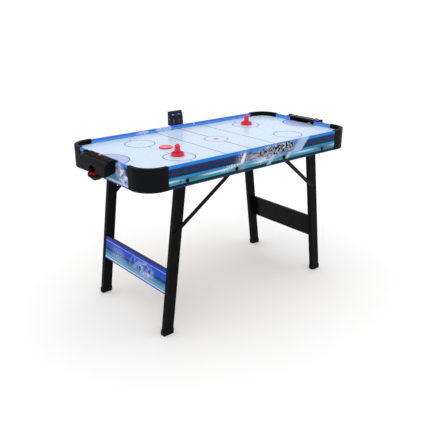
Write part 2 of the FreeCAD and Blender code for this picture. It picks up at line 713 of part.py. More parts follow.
def puck_tray():
    """Scoop under the goal box: a D shaped cup on a tapered chin."""
    outer = TRAY_INNER_RADIUS + TRAY_WALL
    floor = TOP - TRAY_FLOOR_BELOW_TOP
    lip = TOP - TRAY_LIP_BELOW_TOP
    chin_top = floor - TRAY_WALL
    high = TOP - BOX_BACK_HEIGHT
    cup_outline = tray_outline(0, TRAY_CENTRE, outer, chin_top)
    cup = Part.Face(cup_outline).extrude(Vector(0, 0, high - chin_top))
    chin_low = TOP - TRAY_CHIN_BELOW_TOP
    chin_bottom = tray_outline(TRAY_CHIN_BACK, TRAY_CHIN_CENTRE, TRAY_CHIN_RADIUS, chin_low)
    chin = Part.makeLoft([chin_bottom, cup_outline], True, True)
    cavity_outline = tray_outline(BOX_WALL, TRAY_CENTRE, TRAY_INNER_RADIUS, floor)
    cavity = Part.Face(cavity_outline).extrude(Vector(0, 0, high))
    back_plate = goal_block(0, BOX_WALL, -outer, outer, high - TRAY_BACK_HEIGHT - TRAY_WALL, high)
    under_box = high - TRAY_GAP
    slope = (BOX_FRONT_HEIGHT - BOX_BACK_HEIGHT) / BOX_DEPTH
    front = BOX_DEPTH + TRAY_GAP
    limit = goal_bar([(-PAST, chin_low - PAST), (front + outer, chin_low - PAST), (front + outer, lip),
                      (front, lip), (front, under_box - front * slope), (-PAST, under_box)],
                     -outer - PAST, outer + PAST)
    body = cut(fuse([cup, chin, back_plate]), [cavity]).common(limit)
    drills = [rod(SCREW_RADIUS + HOLE_CLEARANCE, (end_x(-PAST), y, z), (end_x(TRAY_SCREW_HOLE), y, z))
              for y, z in goal_screw_places()[2:]]
    return cut(body, drills).Solids[0]


def score_rail():
    """Channel on top of the goal, with end walls that hold the counter's rod."""
    half = RAIL_HALF_LENGTH
    lip_back, lip_top = RAIL_FRONT - RAIL_LIP, TOP + RAIL_LIP_HEIGHT
    ridge_front, ridge_top = RAIL_RIDGE_OUT + RAIL_RIDGE, TOP + RAIL_RIDGE_HEIGHT
    plate_top = TOP + RAIL_PLATE
    channel = goal_bar([
        (RAIL_BACK, TOP), (RAIL_FRONT, TOP), (RAIL_FRONT, lip_top), (lip_back, lip_top),
        (lip_back, plate_top), (ridge_front, plate_top),
        (ridge_front, ridge_top, RAIL_RIDGE_ROUND), (RAIL_RIDGE_OUT, ridge_top, RAIL_RIDGE_ROUND),
        (RAIL_RIDGE_OUT, plate_top), (RAIL_BACK, plate_top)], -half, half)
    end_top = TOP + RAIL_END_HEIGHT
    end_section = [(RAIL_RIDGE_OUT, TOP), (RAIL_FRONT, TOP), (RAIL_FRONT, end_top, RAIL_END_ROUND_OUT),
                   (RAIL_RIDGE_OUT, end_top, RAIL_END_ROUND_IN)]
    ends = [goal_bar(end_section, -half, -half + RAIL_END_WALL),
            goal_bar(end_section, half - RAIL_END_WALL, half)]
    x, z = end_x(ROD_OUT), TOP + ROD_ABOVE_TOP
    drill = rod(ROD_RADIUS + HOLE_CLEARANCE / 2, (x, -half - PAST, z), (x, half + PAST, z))
    return cut(fuse([channel] + ends), [drill])


def score_rod():
    x, z = end_x(ROD_OUT), TOP + ROD_ABOVE_TOP
    return rod(ROD_RADIUS, (x, -RAIL_HALF_LENGTH, z), (x, RAIL_HALF_LENGTH, z))


def score_slider(y):
    """Counter that slides along the rod, with a grip on top."""
    x, z = end_x(ROD_OUT), TOP + ROD_ABOVE_TOP
    low, high = y - SLIDER_LENGTH / 2, y + SLIDER_LENGTH / 2
    bead = rod(SLIDER_RADIUS, (x, low, z), (x, high, z))
    grip = bar_y([(x - SLIDER_GRIP_WIDTH / 2, z), (x + SLIDER_GRIP_WIDTH / 2, z),
                  (x + SLIDER_GRIP_WIDTH / 2, TOP + SLIDER_GRIP_TOP, SLIDER_GRIP_ROUND),
                  (x - SLIDER_GRIP_WIDTH / 2, TOP + SLIDER_GRIP_TOP, SLIDER_GRIP_ROUND)],
                 low, high)
    drill = rod(ROD_RADIUS + RUNNING_CLEARANCE, (x, low - PAST, z), (x, high + PAST, z))
    return cut(fuse([bead, grip]), [drill])


def goal_screws():
    """Screws from inside the table into the goal box bosses and the tray."""
    inside = end_x(-APRON_THICKNESS)
    return [screw((inside, y, z), (end_x(GOAL_SCREW_REACH), y, z)) for y, z in goal_screw_places()]


# ---- Legs ----
def leg_point(side, along, outward):
    """Point (x, z) on a leg: distance down from the pivot, and outward of the centre line."""
    down = (math.sin(SPLAY), -math.cos(SPLAY))
    out = (math.cos(SPLAY), math.sin(SPLAY))
    x = PIVOT_X + along * down[0] + outward * out[0]
    z = PIVOT_Z + along * down[1] + outward * out[1]
    return SIDES[side] * x, z


def leg_slab(side, half_width, y_range, bottom):
    """Leg with a round top about its pivot, cut level at the bottom."""
    length = PIVOT_Z / math.cos(SPLAY) + LEG_WIDTH
    points = [leg_point(side, length, -half_width), leg_point(side, length, half_width)]
    top_points = [leg_point(side, 0, half_width), leg_point(side, -half_width, 0),
                  leg_point(side, 0, -half_width)]
    low, high = y_range
    corner = [Vector(x, low, z) for x, z in points]
    top = [Vector(x, low, z) for x, z in top_points]
    wire = Part.Wire([
        Part.LineSegment(corner[0], corner[1]).toShape(), Part.LineSegment(corner[1], top[0]).toShape(),
        Part.Arc(top[0], top[1], top[2]).toShape(), Part.LineSegment(top[2], corner[0]).toShape()])
    slab = Part.Face(wire).extrude(Vector(0, high - low, 0))
    reach = TABLE_LENGTH
    return cut(slab, [box((-reach, low - PAST, -reach), (reach, high + PAST, bottom))])


def leg_range(side, row, margin=0.0):
    """Low and high Y of a leg, with an optional margin on both faces."""
    outer = LEG_FACE[side] + margin
    inner = LEG_FACE[side] - LEG_THICKNESS - margin
    values = sorted((ROWS[row] * inner, ROWS[row] * outer))
    return values[0], values[1]


def panel_screw_places(side):
    """Places (x, z) of the screws into a panel's end."""
    along = (PIVOT_Z - PANEL_BOTTOM - PANEL_HEIGHT / 2) / math.cos(SPLAY)
    outward = LEG_WIDTH / 2 - PANEL_SETBACK - PANEL_THICKNESS / 2
    return [leg_point(side, along + step, outward) for step in (-PANEL_HEIGHT / 4, PANEL_HEIGHT / 4)]


def leg(side, row):
    low, high = leg_range(side, row)
    body = leg_slab(side, LEG_WIDTH / 2, (low, high), FOOT_SOLE)
    pivot = leg_point(side, 0, 0)
    brace = leg_point(side, BRACE_LEG_DISTANCE, BRACE_LEG_OFFSET)
    holes = [(pivot, PIVOT_BOLT_RADIUS + RUNNING_CLEARANCE), (brace, BRACE_BOLT_RADIUS + HOLE_CLEARANCE)]
    holes += [(place, SCREW_RADIUS + HOLE_CLEARANCE) for place in panel_screw_places(side)]
    return cut(body, [rod(radius, (x, low - PAST, z), (x, high + PAST, z)) for (x, z), radius in holes])


def foot_caps(side):
    caps = []
    for row in ROWS:
        outer = leg_slab(side, LEG_WIDTH / 2 + FOOT_CLEARANCE + FOOT_WALL,
                         leg_range(side, row, FOOT_CLEARANCE + FOOT_WALL), 0)
        low, high = leg_range(side, row, FOOT_CLEARANCE)
        above = box((-TABLE_LENGTH, low - FAR_PAST, FOOT_HEIGHT),
                    (TABLE_LENGTH, high + FAR_PAST, 2 * TOP))
        inner = leg_slab(side, LEG_WIDTH / 2 + FOOT_CLEARANCE, (low, high), FOOT_SOLE)
        caps.append(cut(outer, [above, inner]))
    return group(caps)


def leg_panel(side):
    """Printed board between a frame's two legs, near their outer edges."""
    half = LEG_FACE[side] - LEG_THICKNESS
    top_along = (PIVOT_Z - PANEL_BOTTOM - PANEL_HEIGHT) / math.cos(SPLAY)
    bottom_along = (PIVOT_Z - PANEL_BOTTOM) / math.cos(SPLAY)
    outer = LEG_WIDTH / 2 - PANEL_SETBACK
    inner = outer - PANEL_THICKNESS
    corners = [leg_point(side, top_along, outer), leg_point(side, top_along, inner),
               leg_point(side, bottom_along, inner), leg_point(side, bottom_along, outer)]
    panel = bar_y([(x, z, PANEL_ROUND) for x, z in corners], -half, half)
    drills = []
    for x, z in panel_screw_places(side):
        for row in ROWS.values():
            drills.append(rod(SCREW_RADIUS + HOLE_CLEARANCE, (x, row * (half + PAST), z),
                              (x, row * (half - SCREW_LENGTH - PAST), z)))
    return cut(panel, drills)


def panel_screws(side):
    face = LEG_FACE[side]
    point = face - LEG_THICKNESS - SCREW_LENGTH
    return group([screw((x, row * face, z), (x, row * point, z))
                  for x, z in panel_screw_places(side) for row in ROWS.values()])


# ---- Braces ----
def brace_end(side):
    """Place (x, z) of the brace's bolt at the leg."""
    return leg_point(side, BRACE_LEG_DISTANCE, BRACE_LEG_OFFSET)


def brace(side, row):
    """Flat strip from the apron down to the leg, set in towards the leg between its flat ends."""
    start = Vector(SIDES[side] * BRACE_X, 0, PIVOT_Z)
    x, z = brace_end(side)
    end = Vector(x, 0, z)
    length = (end - start).Length
    near = LEG_FACE[side] + BRACE_LEG_GAP
    far = BRACE_FACE - BRACE_THICKNESS
    reach = BRACE_WIDTH / 2
    inner = [(-reach, far), (BRACE_FLAT_AT_APRON, far), (length - BRACE_FLAT_AT_LEG, near),
             (length + reach, near)]
    outer = [(s, y + BRACE_THICKNESS) for s, y in reversed(inner)]
    flat = Part.Face(outline(inner + outer, lambda s, y: Vector(s, y, -reach)))
    strip = flat.extrude(Vector(0, 0, BRACE_WIDTH))
    low, high = near - PAST, far + BRACE_THICKNESS + PAST
    shape = fuse([box((0, low, -reach), (length, high, reach)), rod(reach, (0, low, 0), (0, high, 0)),
                  rod(reach, (length, low, 0), (length, high, 0))])
    strip = strip.common(shape)
    strip = cut(strip, [rod(BRACE_BOLT_RADIUS + RUNNING_CLEARANCE, (s, low, 0), (s, high, 0))
                        for s in (0, length)])
    slope = math.degrees(math.atan2(start.z - end.z, abs(end.x - start.x)))
    strip.rotate(Vector(0, 0, 0), Vector(0, 1, 0), slope)
    strip.translate(Vector(BRACE_X, 0, PIVOT_Z))
    strip = strip if side == "right" else mirror_x(strip)
    return strip if row == "rear" else mirror_y(strip)


def brace_bolt(side, row):
    """Bolt at the leg end of a brace: a domed head outside, its shank only through the strip."""
    x, z = brace_end(side)
    inner = LEG_FACE[side] + BRACE_LEG_GAP
    outer = inner + BRACE_THICKNESS
    way = ROWS[row]
    shank = rod(BRACE_BOLT_RADIUS, (x, way * inner, z), (x, way * (outer + OVERLAP), z))
    head = rod(NUT_RADIUS, (x, way * outer, z), (x, way * (outer + HEAD_HEIGHT), z))
    return fuse([shank, head])


def flanged_bolt(shank_radius, x, z, tip):
    """Bolt through the rear apron: a wide round head outside, its tip at a Y value."""
    head = rod(HEAD_RADIUS, (x, HALF_WIDTH, z), (x, HALF_WIDTH + HEAD_HEIGHT, z))
    rim = [edge for edge in head.Edges if edge.BoundBox.YMin > HALF_WIDTH + HEAD_HEIGHT - 1e-3]
    head = head.makeFillet(HEAD_HEIGHT / 2, rim)
    shank = rod(shank_radius, (x, tip, z), (x, HALF_WIDTH + OVERLAP, z))
    return fuse([head, shank])


def pivot_pieces():
    """Bolts, nuts and spacers of the leg and brace pivots."""
    bolts, nuts, spacers = [], [], []
    for side, sign in SIDES.items():
        x = sign * PIVOT_X
        inner = LEG_FACE[side] - LEG_THICKNESS - NUT_GAP
        bolts.append(flanged_bolt(PIVOT_BOLT_RADIUS, x, PIVOT_Z, inner - NUT_HEIGHT - BOLT_TIP))
        nuts.append(hexagon_nut(PIVOT_NUT_RADIUS, PIVOT_BOLT_RADIUS, (x, PIVOT_Z), inner - NUT_HEIGHT, inner))
        low, high = LEG_FACE[side] + BRACE_LEG_GAP, INNER_FACE
        sleeve = rod(SPACER_RADIUS, (x, low, PIVOT_Z), (x, high, PIVOT_Z))
        spacers.append(cut(sleeve, [rod(PIVOT_BOLT_RADIUS + HOLE_CLEARANCE, (x, low - PAST, PIVOT_Z),
                                        (x, high + PAST, PIVOT_Z))]))
        x = sign * BRACE_X
        inner = BRACE_FACE - BRACE_THICKNESS - NUT_GAP
        bolts.append(flanged_bolt(BRACE_BOLT_RADIUS, x, PIVOT_Z, inner - NUT_HEIGHT - BOLT_TIP))
        nuts.append(hexagon_nut(NUT_RADIUS, BRACE_BOLT_RADIUS, (x, PIVOT_Z), inner - NUT_HEIGHT, inner))
        low = BRACE_FACE + BRACE_LEG_GAP
        washer = rod(WASHER_RADIUS, (x, low, PIVOT_Z), (x, high, PIVOT_Z))
        spacers.append(cut(washer, [rod(BRACE_BOLT_RADIUS + HOLE_CLEARANCE, (x, low - PAST, PIVOT_Z),
                                        (x, high + PAST, PIVOT_Z))]))
    return [group(pieces + [mirror_y(piece) for piece in pieces]) for pieces in (bolts, nuts, spacers)]


# ---- Pushers and pucks ----
def pusher(x, y):
    """Cup shaped base with a raised rim and a domed handle, turned about its axis."""
    recess = PUSHER_RADIUS - PUSHER_RIM_WALL
    dome = PUSHER_HEIGHT - PUSHER_HANDLE_TOP
    foot, rim = PUSHER_FOOT_ROUND, PUSHER_RIM_ROUND
    points = [(0, 0), (PUSHER_RADIUS, 0, foot), (PUSHER_RADIUS, PUSHER_RIM_HEIGHT, rim),
              (recess, PUSHER_RIM_HEIGHT, rim), (recess - PUSHER_RECESS_TAPER, PUSHER_FLOOR, foot),
              (PUSHER_HANDLE_BASE, PUSHER_FLOOR, foot), (PUSHER_HANDLE_TOP, dome)]
    space = [Vector(r, 0, h) for r, h in ((0, 0), (PUSHER_HANDLE_TOP, dome), (0, PUSHER_HEIGHT))]
    corner = math.sqrt(0.5) * PUSHER_HANDLE_TOP
    closed = outline(points + [(0, dome)], lambda r, h: Vector(r, 0, h))
    top = Part.Wire([Part.Arc(space[1], Vector(corner, 0, dome + corner), space[2]).toShape(),
                     Part.LineSegment(space[2], Vector(0, 0, dome)).toShape(),
                     Part.LineSegment(Vector(0, 0, dome), space[1]).toShape()])
    axis = (Vector(0, 0, 0), Vector(0, 0, 1), 360)
    body = fuse([Part.Face(closed).revolve(*axis), Part.Face(top).revolve(*axis)])
    body.translate(Vector(x, y, FIELD_TOP))
    return body


def puck(x, y, bottom):
    """Flat disc with bevelled rims and a shallow recess in both faces."""
    half = PUCK_THICKNESS / 2
    bevel = PUCK_CHAMFER
    right = [(PUCK_RECESS_RADIUS - PUCK_RECESS, half - PUCK_RECESS), (PUCK_RECESS_RADIUS, half),
             (PUCK_RADIUS - bevel, half), (PUCK_RADIUS, half - bevel)]
    points = [(0, half - PUCK_RECESS)] + right + [(r, -h) for r, h in reversed(right)]
    points.append((0, PUCK_RECESS - half))
    disc = Part.Face(outline(points, lambda r, h: Vector(r, 0, h)))
    disc = disc.revolve(Vector(0, 0, 0), Vector(0, 0, 1), 360)
    disc.translate(Vector(x, y, bottom + half))
    return disc


# ---- Score unit ----
UNIT_FOOT = TOP - UNIT_BELOW_TOP
UNIT_SEAM = HALF_WIDTH + UNIT_BACK_OFFSET


def unit_section(inset, back):
    """Side view (y, z) of the case, whose front leans back and is bowed."""
    foot_y = HALF_WIDTH + UNIT_FRONT_OFFSET + inset
    bend_y = foot_y + UNIT_BEND_SET
    top_y = HALF_WIDTH + UNIT_TOP_OFFSET + inset
    bend_z = UNIT_FOOT + UNIT_BEND_PLACE * UNIT_HEIGHT
    top_z = UNIT_FOOT + UNIT_HEIGHT - inset
    return [(foot_y, UNIT_FOOT + inset), (bend_y, bend_z, UNIT_BEND), (top_y, top_z),
            (back, top_z), (back, UNIT_FOOT + inset)]


def bracket_screw_places():
    z = TOP - UNIT_BELOW_TOP - BRACKET_DROP / 2
    return [(-BRACKET_SCREW_X, z), (BRACKET_SCREW_X, z)]


def unit_screw_places():
    """Screws (x, y) that hold the case down on the bracket's shelf."""
    y = HALF_WIDTH + UNIT_SCREW_OFFSET
    return [(-UNIT_SCREW_X, y), (UNIT_SCREW_X, y)]


def button_place():
    return UNIT_SEAM - BUTTON_BACK, UNIT_FOOT + BUTTON_MIDDLE


def score_unit_front():
    half = UNIT_HALF_WIDTH
    case = bar_x(unit_section(0, UNIT_SEAM), -half, half)
    hollow = bar_x(unit_section(UNIT_WALL, UNIT_SEAM + PAST), -half + UNIT_WALL, half - UNIT_WALL)
    tools = [hollow]
    middle = UNIT_FOOT + WINDOW_MIDDLE
    for x in (-WINDOW_HALF_SPACING, WINDOW_HALF_SPACING):
        tools.append(box((x - WINDOW_WIDTH / 2, HALF_WIDTH, middle - WINDOW_HEIGHT / 2),
                         (x + WINDOW_WIDTH / 2, UNIT_SEAM - UNIT_WALL, middle + WINDOW_HEIGHT / 2)))
    y, z = button_place()
    tools.append(rod(BUTTON_RADIUS + BUTTON_CLEARANCE, (-half - PAST, y, z),
                     (-half + UNIT_WALL + PAST, y, z)))
    for x, y in unit_screw_places():
        tools.append(rod(SCREW_RADIUS + HOLE_CLEARANCE, (x, y, UNIT_FOOT - PAST),
                         (x, y, UNIT_FOOT + UNIT_WALL + PAST)))
    return cut(case, tools)


def score_unit_back():
    """Cover that closes the back of the case."""
    top = UNIT_FOOT + UNIT_HEIGHT
    section = [(UNIT_SEAM, UNIT_FOOT), (UNIT_SEAM, top), (UNIT_BACK, top, UNIT_BACK_ROUND),
               (UNIT_BACK, UNIT_FOOT, UNIT_BACK_ROUND)]
    return bar_x(section, -UNIT_HALF_WIDTH, UNIT_HALF_WIDTH)


def score_circuit():
    half = WINDOW_HALF_SPACING + WINDOW_WIDTH / 2 + CIRCUIT_MARGIN
    front = display_back()
    return box((-half, front, UNIT_FOOT + UNIT_WALL + DISPLAY_CLEARANCE),
               (half, front + CIRCUIT_THICKNESS, UNIT_FOOT + WINDOW_MIDDLE + WINDOW_HEIGHT))


def display_back():
    return HALF_WIDTH + UNIT_FRONT_OFFSET + UNIT_WALL + DISPLAY_DEPTH


def score_displays():
    """Two digit modules that fill the windows from behind."""
    middle = UNIT_FOOT + WINDOW_MIDDLE
    half_x = WINDOW_WIDTH / 2 - DISPLAY_CLEARANCE
    half_z = WINDOW_HEIGHT / 2 - DISPLAY_CLEARANCE
    front = HALF_WIDTH + UNIT_FRONT_OFFSET + UNIT_WALL
    return group([box((x - half_x, front, middle - half_z), (x + half_x, display_back(), middle + half_z))
                  for x in (-WINDOW_HALF_SPACING, WINDOW_HALF_SPACING)])


def score_button():
    """Push button in the left side of the case, with a flange inside."""
    half = UNIT_HALF_WIDTH
    y, z = button_place()
    stem = rod(BUTTON_RADIUS, (-half - BUTTON_PROUD, y, z), (-half + UNIT_WALL + BUTTON_STEM, y, z))
    inner = -half + UNIT_WALL + BUTTON_CLEARANCE
    flange = rod(BUTTON_RADIUS + BUTTON_FLANGE, (inner, y, z), (inner + BUTTON_FLANGE_THICKNESS, y, z))
    return fuse([stem, flange])


def score_unit_bracket():
    """Bent steel bracket: a leg down the apron and a shelf under the case."""
    half = BRACKET_HALF_WIDTH
    face = HALF_WIDTH
    down = box((-half, face, UNIT_FOOT - BRACKET_DROP), (half, face + BRACKET_THICKNESS, UNIT_FOOT))
    shelf = box((-half, face, UNIT_FOOT - BRACKET_THICKNESS),
                (half, UNIT_SEAM - BRACKET_SHELF_SETBACK, UNIT_FOOT))
    hole = SCREW_RADIUS + HOLE_CLEARANCE
    drills = [rod(hole, (x, face - PAST, z), (x, face + BRACKET_THICKNESS + PAST, z))
              for x, z in bracket_screw_places()]
    drills += [rod(hole, (x, y, UNIT_FOOT - BRACKET_THICKNESS - PAST), (x, y, UNIT_FOOT + PAST))
               for x, y in unit_screw_places()]
    return cut(fuse([down, shelf]), drills)


def bracket_screws():
    """Screws through the bracket into the apron, and up through its shelf into the case."""
    outside = HALF_WIDTH + BRACKET_THICKNESS
    under = UNIT_FOOT - BRACKET_THICKNESS
    into_apron = [screw((x, outside, z), (x, outside - SCREW_LENGTH / 2, z))
                  for x, z in bracket_screw_places()]
    into_case = [screw((x, y, under), (x, y, under + UNIT_SCREW_LENGTH)) for x, y in unit_screw_places()]
    return into_apron + into_case


# ---- Blower under the bottom board ----
FAN_TOP = FLOOR_BOTTOM
FAN_BOTTOM = FAN_TOP - FAN_HEIGHT
MOTOR_TOP = FAN_TOP - FAN_STRUT_HEIGHT
MOTOR_BOTTOM = MOTOR_TOP - MOTOR_HEIGHT


def fan_corners():
    return [(x, y) for x in (-FAN_SCREW, FAN_SCREW) for y in (-FAN_SCREW, FAN_SCREW)]


def blower_housing():
    """Square fan frame with a round bore, and four struts that hold the motor."""
    shell = plate(rounded_rectangle(FAN_HALF, FAN_HALF, FAN_ROUND), FAN_BOTTOM, FAN_TOP, [(0, 0, FAN_BORE)])
    low = FAN_TOP - FAN_STRUT_HEIGHT
    seat = rod(MOTOR_RADIUS, (0, 0, low), (0, 0, FAN_TOP))
    struts = []
    for angle in (45, 135, 225, 315):
        strut = box((MOTOR_RADIUS - FAN_STRUT_ROOT, -FAN_STRUT / 2, low),
                    (FAN_BORE + FAN_STRUT_ROOT, FAN_STRUT / 2, FAN_TOP))
        strut.rotate(Vector(0, 0, 0), Vector(0, 0, 1), angle)
        struts.append(strut)
    drills = [rod(SCREW_RADIUS + HOLE_CLEARANCE, (x, y, FAN_BOTTOM - PAST), (x, y, FAN_TOP + PAST))
              for x, y in fan_corners()]
    return cut(fuse([shell, seat] + struts), drills)


def blower_motor():
    """Motor can with its shaft pointing down."""
    can = rod(MOTOR_RADIUS, (0, 0, MOTOR_BOTTOM), (0, 0, MOTOR_TOP))
    shaft = rod(SHAFT_RADIUS, (0, 0, MOTOR_BOTTOM - HUB_WEB - SHAFT_TIP), (0, 0, MOTOR_BOTTOM))
    return fuse([can, shaft])


def blower_impeller():
    """Cup over the motor with swept blades."""
    web_top = MOTOR_BOTTOM - ROTOR_CLEARANCE
    low, high = web_top - HUB_WEB, MOTOR_TOP - HUB_SKIRT_CLEARANCE
    hub = rod(HUB_RADIUS, (0, 0, low), (0, 0, high))
    tip = FAN_BORE - BLADE_TIP_CLEARANCE
    core = rod(HUB_RADIUS - OVERLAP, (0, 0, low - PAST), (0, 0, high + PAST))
    room = cut(rod(tip, (0, 0, low), (0, 0, high)), [core])
    blades = []
    for index in range(BLADE_COUNT):
        blade = box((HUB_RADIUS - 2 * OVERLAP, -FAN_HEIGHT, -BLADE_THICKNESS / 2),
                    (FAN_BORE, FAN_HEIGHT, BLADE_THICKNESS / 2))
        blade.rotate(Vector(0, 0, 0), Vector(1, 0, 0), BLADE_PITCH)
        blade.translate(Vector(0, 0, (low + high) / 2))
        blade.rotate(Vector(0, 0, 0), Vector(0, 0, 1), index * 360 / BLADE_COUNT)
        blades.append(blade.common(room))
    pocket = rod(MOTOR_RADIUS + ROTOR_CLEARANCE, (0, 0, web_top), (0, 0, high + PAST))
    bore = rod(SHAFT_RADIUS + RUNNING_CLEARANCE, (0, 0, low - PAST), (0, 0, web_top + PAST))
    return cut(fuse([hub] + blades), [pocket, bore])


def blower_guard():
    """Flat grille of rings and spokes under the fan."""
    high, low = FAN_BOTTOM, FAN_BOTTOM - GUARD_THICKNESS
    rings = []
    radius = FAN_BORE - GUARD_RING_INSET
    while radius > GUARD_RING_PITCH:
        ring = rod(radius, (0, 0, low), (0, 0, high))
        rings.append(cut(ring, [rod(radius - GUARD_RING_WIDTH, (0, 0, low - PAST), (0, 0, high + PAST))]))
        radius -= GUARD_RING_PITCH
    reach = math.hypot(FAN_SCREW, FAN_SCREW)
    spokes = []
    for angle in (45, 135):
        spoke = box((-reach, -GUARD_RING_WIDTH, low), (reach, GUARD_RING_WIDTH, high))
        spoke.rotate(Vector(0, 0, 0), Vector(0, 0, 1), angle)
        spokes.append(spoke)
    tab = SCREW_HEAD_RADIUS + GUARD_TAB_MARGIN
    tabs = [rod(tab, (x, y, low), (x, y, high)) for x, y in fan_corners()]
    drills = [rod(SCREW_RADIUS + HOLE_CLEARANCE, (x, y, low - PAST), (x, y, high + PAST))
              for x, y in fan_corners()]
    return cut(fuse(rings + spokes + tabs), drills)


def blower_screws():
    low = FAN_BOTTOM - GUARD_THICKNESS
    return [screw((x, y, low), (x, y, FLOOR_TOP + FAN_SCREW_REACH)) for x, y in fan_corners()]


# ---- Power inlet, switch and wire ----
def power_inlet():
    """Round low-voltage socket in the rear apron, with its centre pin."""
    z = TOP - POWER_BELOW_TOP
    face = HALF_WIDTH
    bore_end = face - INLET_DEPTH / 2
    flange = rod(INLET_FLANGE_RADIUS, (INLET_X, face, z), (INLET_X, face + INLET_FLANGE, z))
    body = rod(INLET_BODY_RADIUS, (INLET_X, face - INLET_DEPTH, z), (INLET_X, face + OVERLAP, z))
    bore = rod(INLET_BORE_RADIUS, (INLET_X, bore_end, z), (INLET_X, face + INLET_FLANGE + PAST, z))
    pin = rod(INLET_PIN_RADIUS, (INLET_X, bore_end - OVERLAP, z), (INLET_X, face, z))
    return fuse([cut(fuse([flange, body]), [bore]), pin])


def switch_back():
    return HALF_WIDTH - SWITCH_DEPTH


def switch_frame():
    """Housing of the rocker switch, clipped through the rear apron."""
    z = TOP - POWER_BELOW_TOP
    face = HALF_WIDTH
    length, height = SWITCH_HALF_LENGTH, SWITCH_HALF_HEIGHT

    def block(margin, low, high):
        return box((SWITCH_X - length - margin, low, z - height - margin),
                   (SWITCH_X + length + margin, high, z + height + margin))

    flange = block(SWITCH_WALL, face, face + SWITCH_FLANGE)
    body = block(0, switch_back(), face + OVERLAP)
    pocket = block(-SWITCH_WALL, face - SWITCH_POCKET_DEPTH, face + SWITCH_FLANGE + PAST)
    pin_y = face - ROCKER_PIVOT_DEPTH
    reach = height - SWITCH_WALL + ROCKER_PIN_SEAT
    bearing = rod(ROCKER_PIVOT_RADIUS + RUNNING_CLEARANCE, (SWITCH_X, pin_y, z - reach),
                  (SWITCH_X, pin_y, z + reach))
    return cut(fuse([flange, body]), [pocket, bearing])


def rocker():
    """Rocker with trunnions top and bottom, tilted to its off side."""
    z = TOP - POWER_BELOW_TOP
    half_height = SWITCH_HALF_HEIGHT - SWITCH_WALL - ROCKER_CLEARANCE
    half = SWITCH_HALF_LENGTH - SWITCH_WALL - 4 * ROCKER_CLEARANCE
    profile = [(-half, -ROCKER_HEEL), (0, -ROCKER_BELLY, ROCKER_BELLY), (half, -ROCKER_HEEL),
               (half, ROCKER_END_RISE, ROCKER_ROUND), (0, ROCKER_END_RISE - ROCKER_DISH),
               (-half, ROCKER_END_RISE, ROCKER_ROUND)]
    body = plate(profile, z - half_height, z + half_height)
    reach = SWITCH_HALF_HEIGHT - SWITCH_WALL + ROCKER_PIN_SEAT - ROCKER_CLEARANCE
    trunnion = rod(ROCKER_PIVOT_RADIUS, (0, 0, z - reach), (0, 0, z + reach))
    body = fuse([body, trunnion])
    body.rotate(Vector(0, 0, 0), Vector(0, 0, 1), -ROCKER_TILT)
    body.translate(Vector(SWITCH_X, HALF_WIDTH - ROCKER_PIVOT_DEPTH, 0))
    return body


def wire_path(points, bend):
    """Straight runs joined by tangent arcs."""
    edges = []
    here = Vector(*points[0])
    for index in range(1, len(points) - 1):
        corner = Vector(*points[index])
        back = (Vector(*points[index - 1]) - corner).normalize()
        on = (Vector(*points[index + 1]) - corner).normalize()
        half = back.getAngle(on) / 2
        start = corner + back * (bend / math.tan(half))
        end = corner + on * (bend / math.tan(half))
        middle = corner + (back + on).normalize() * (bend / math.sin(half) - bend)
        edges.append(Part.LineSegment(here, start).toShape())
        edges.append(Part.Arc(start, middle, end).toShape())
        here = end
    edges.append(Part.LineSegment(here, Vector(*points[-1])).toShape())
    return Part.Wire(edges)


def blower_wire():
    """Wire from the switch up into the air chamber and down to the motor's seat."""
    wire_z = (FLOOR_TOP + FIELD_BOTTOM) / 2
    y = switch_back() - SCREW_HEAD_RADIUS
    start_z = TOP - POWER_BELOW_TOP
    seat = MOTOR_RADIUS / 2
    points = [(SWITCH_X, y, start_z), (SWITCH_X, y, wire_z), (SWITCH_X, BATTEN_GAP, wire_z),
              (-seat, seat, wire_z), (-seat, seat, FAN_TOP)]
    path = wire_path(points, min(WIRE_BEND, (wire_z - FAN_TOP) * WIRE_BEND_SHARE))
    circle = Part.Circle(Vector(*points[0]), Vector(0, 0, 1), WIRE_RADIUS)
    section = Part.Wire(circle.toShape())
    return path.makePipeShell([section], True, False)


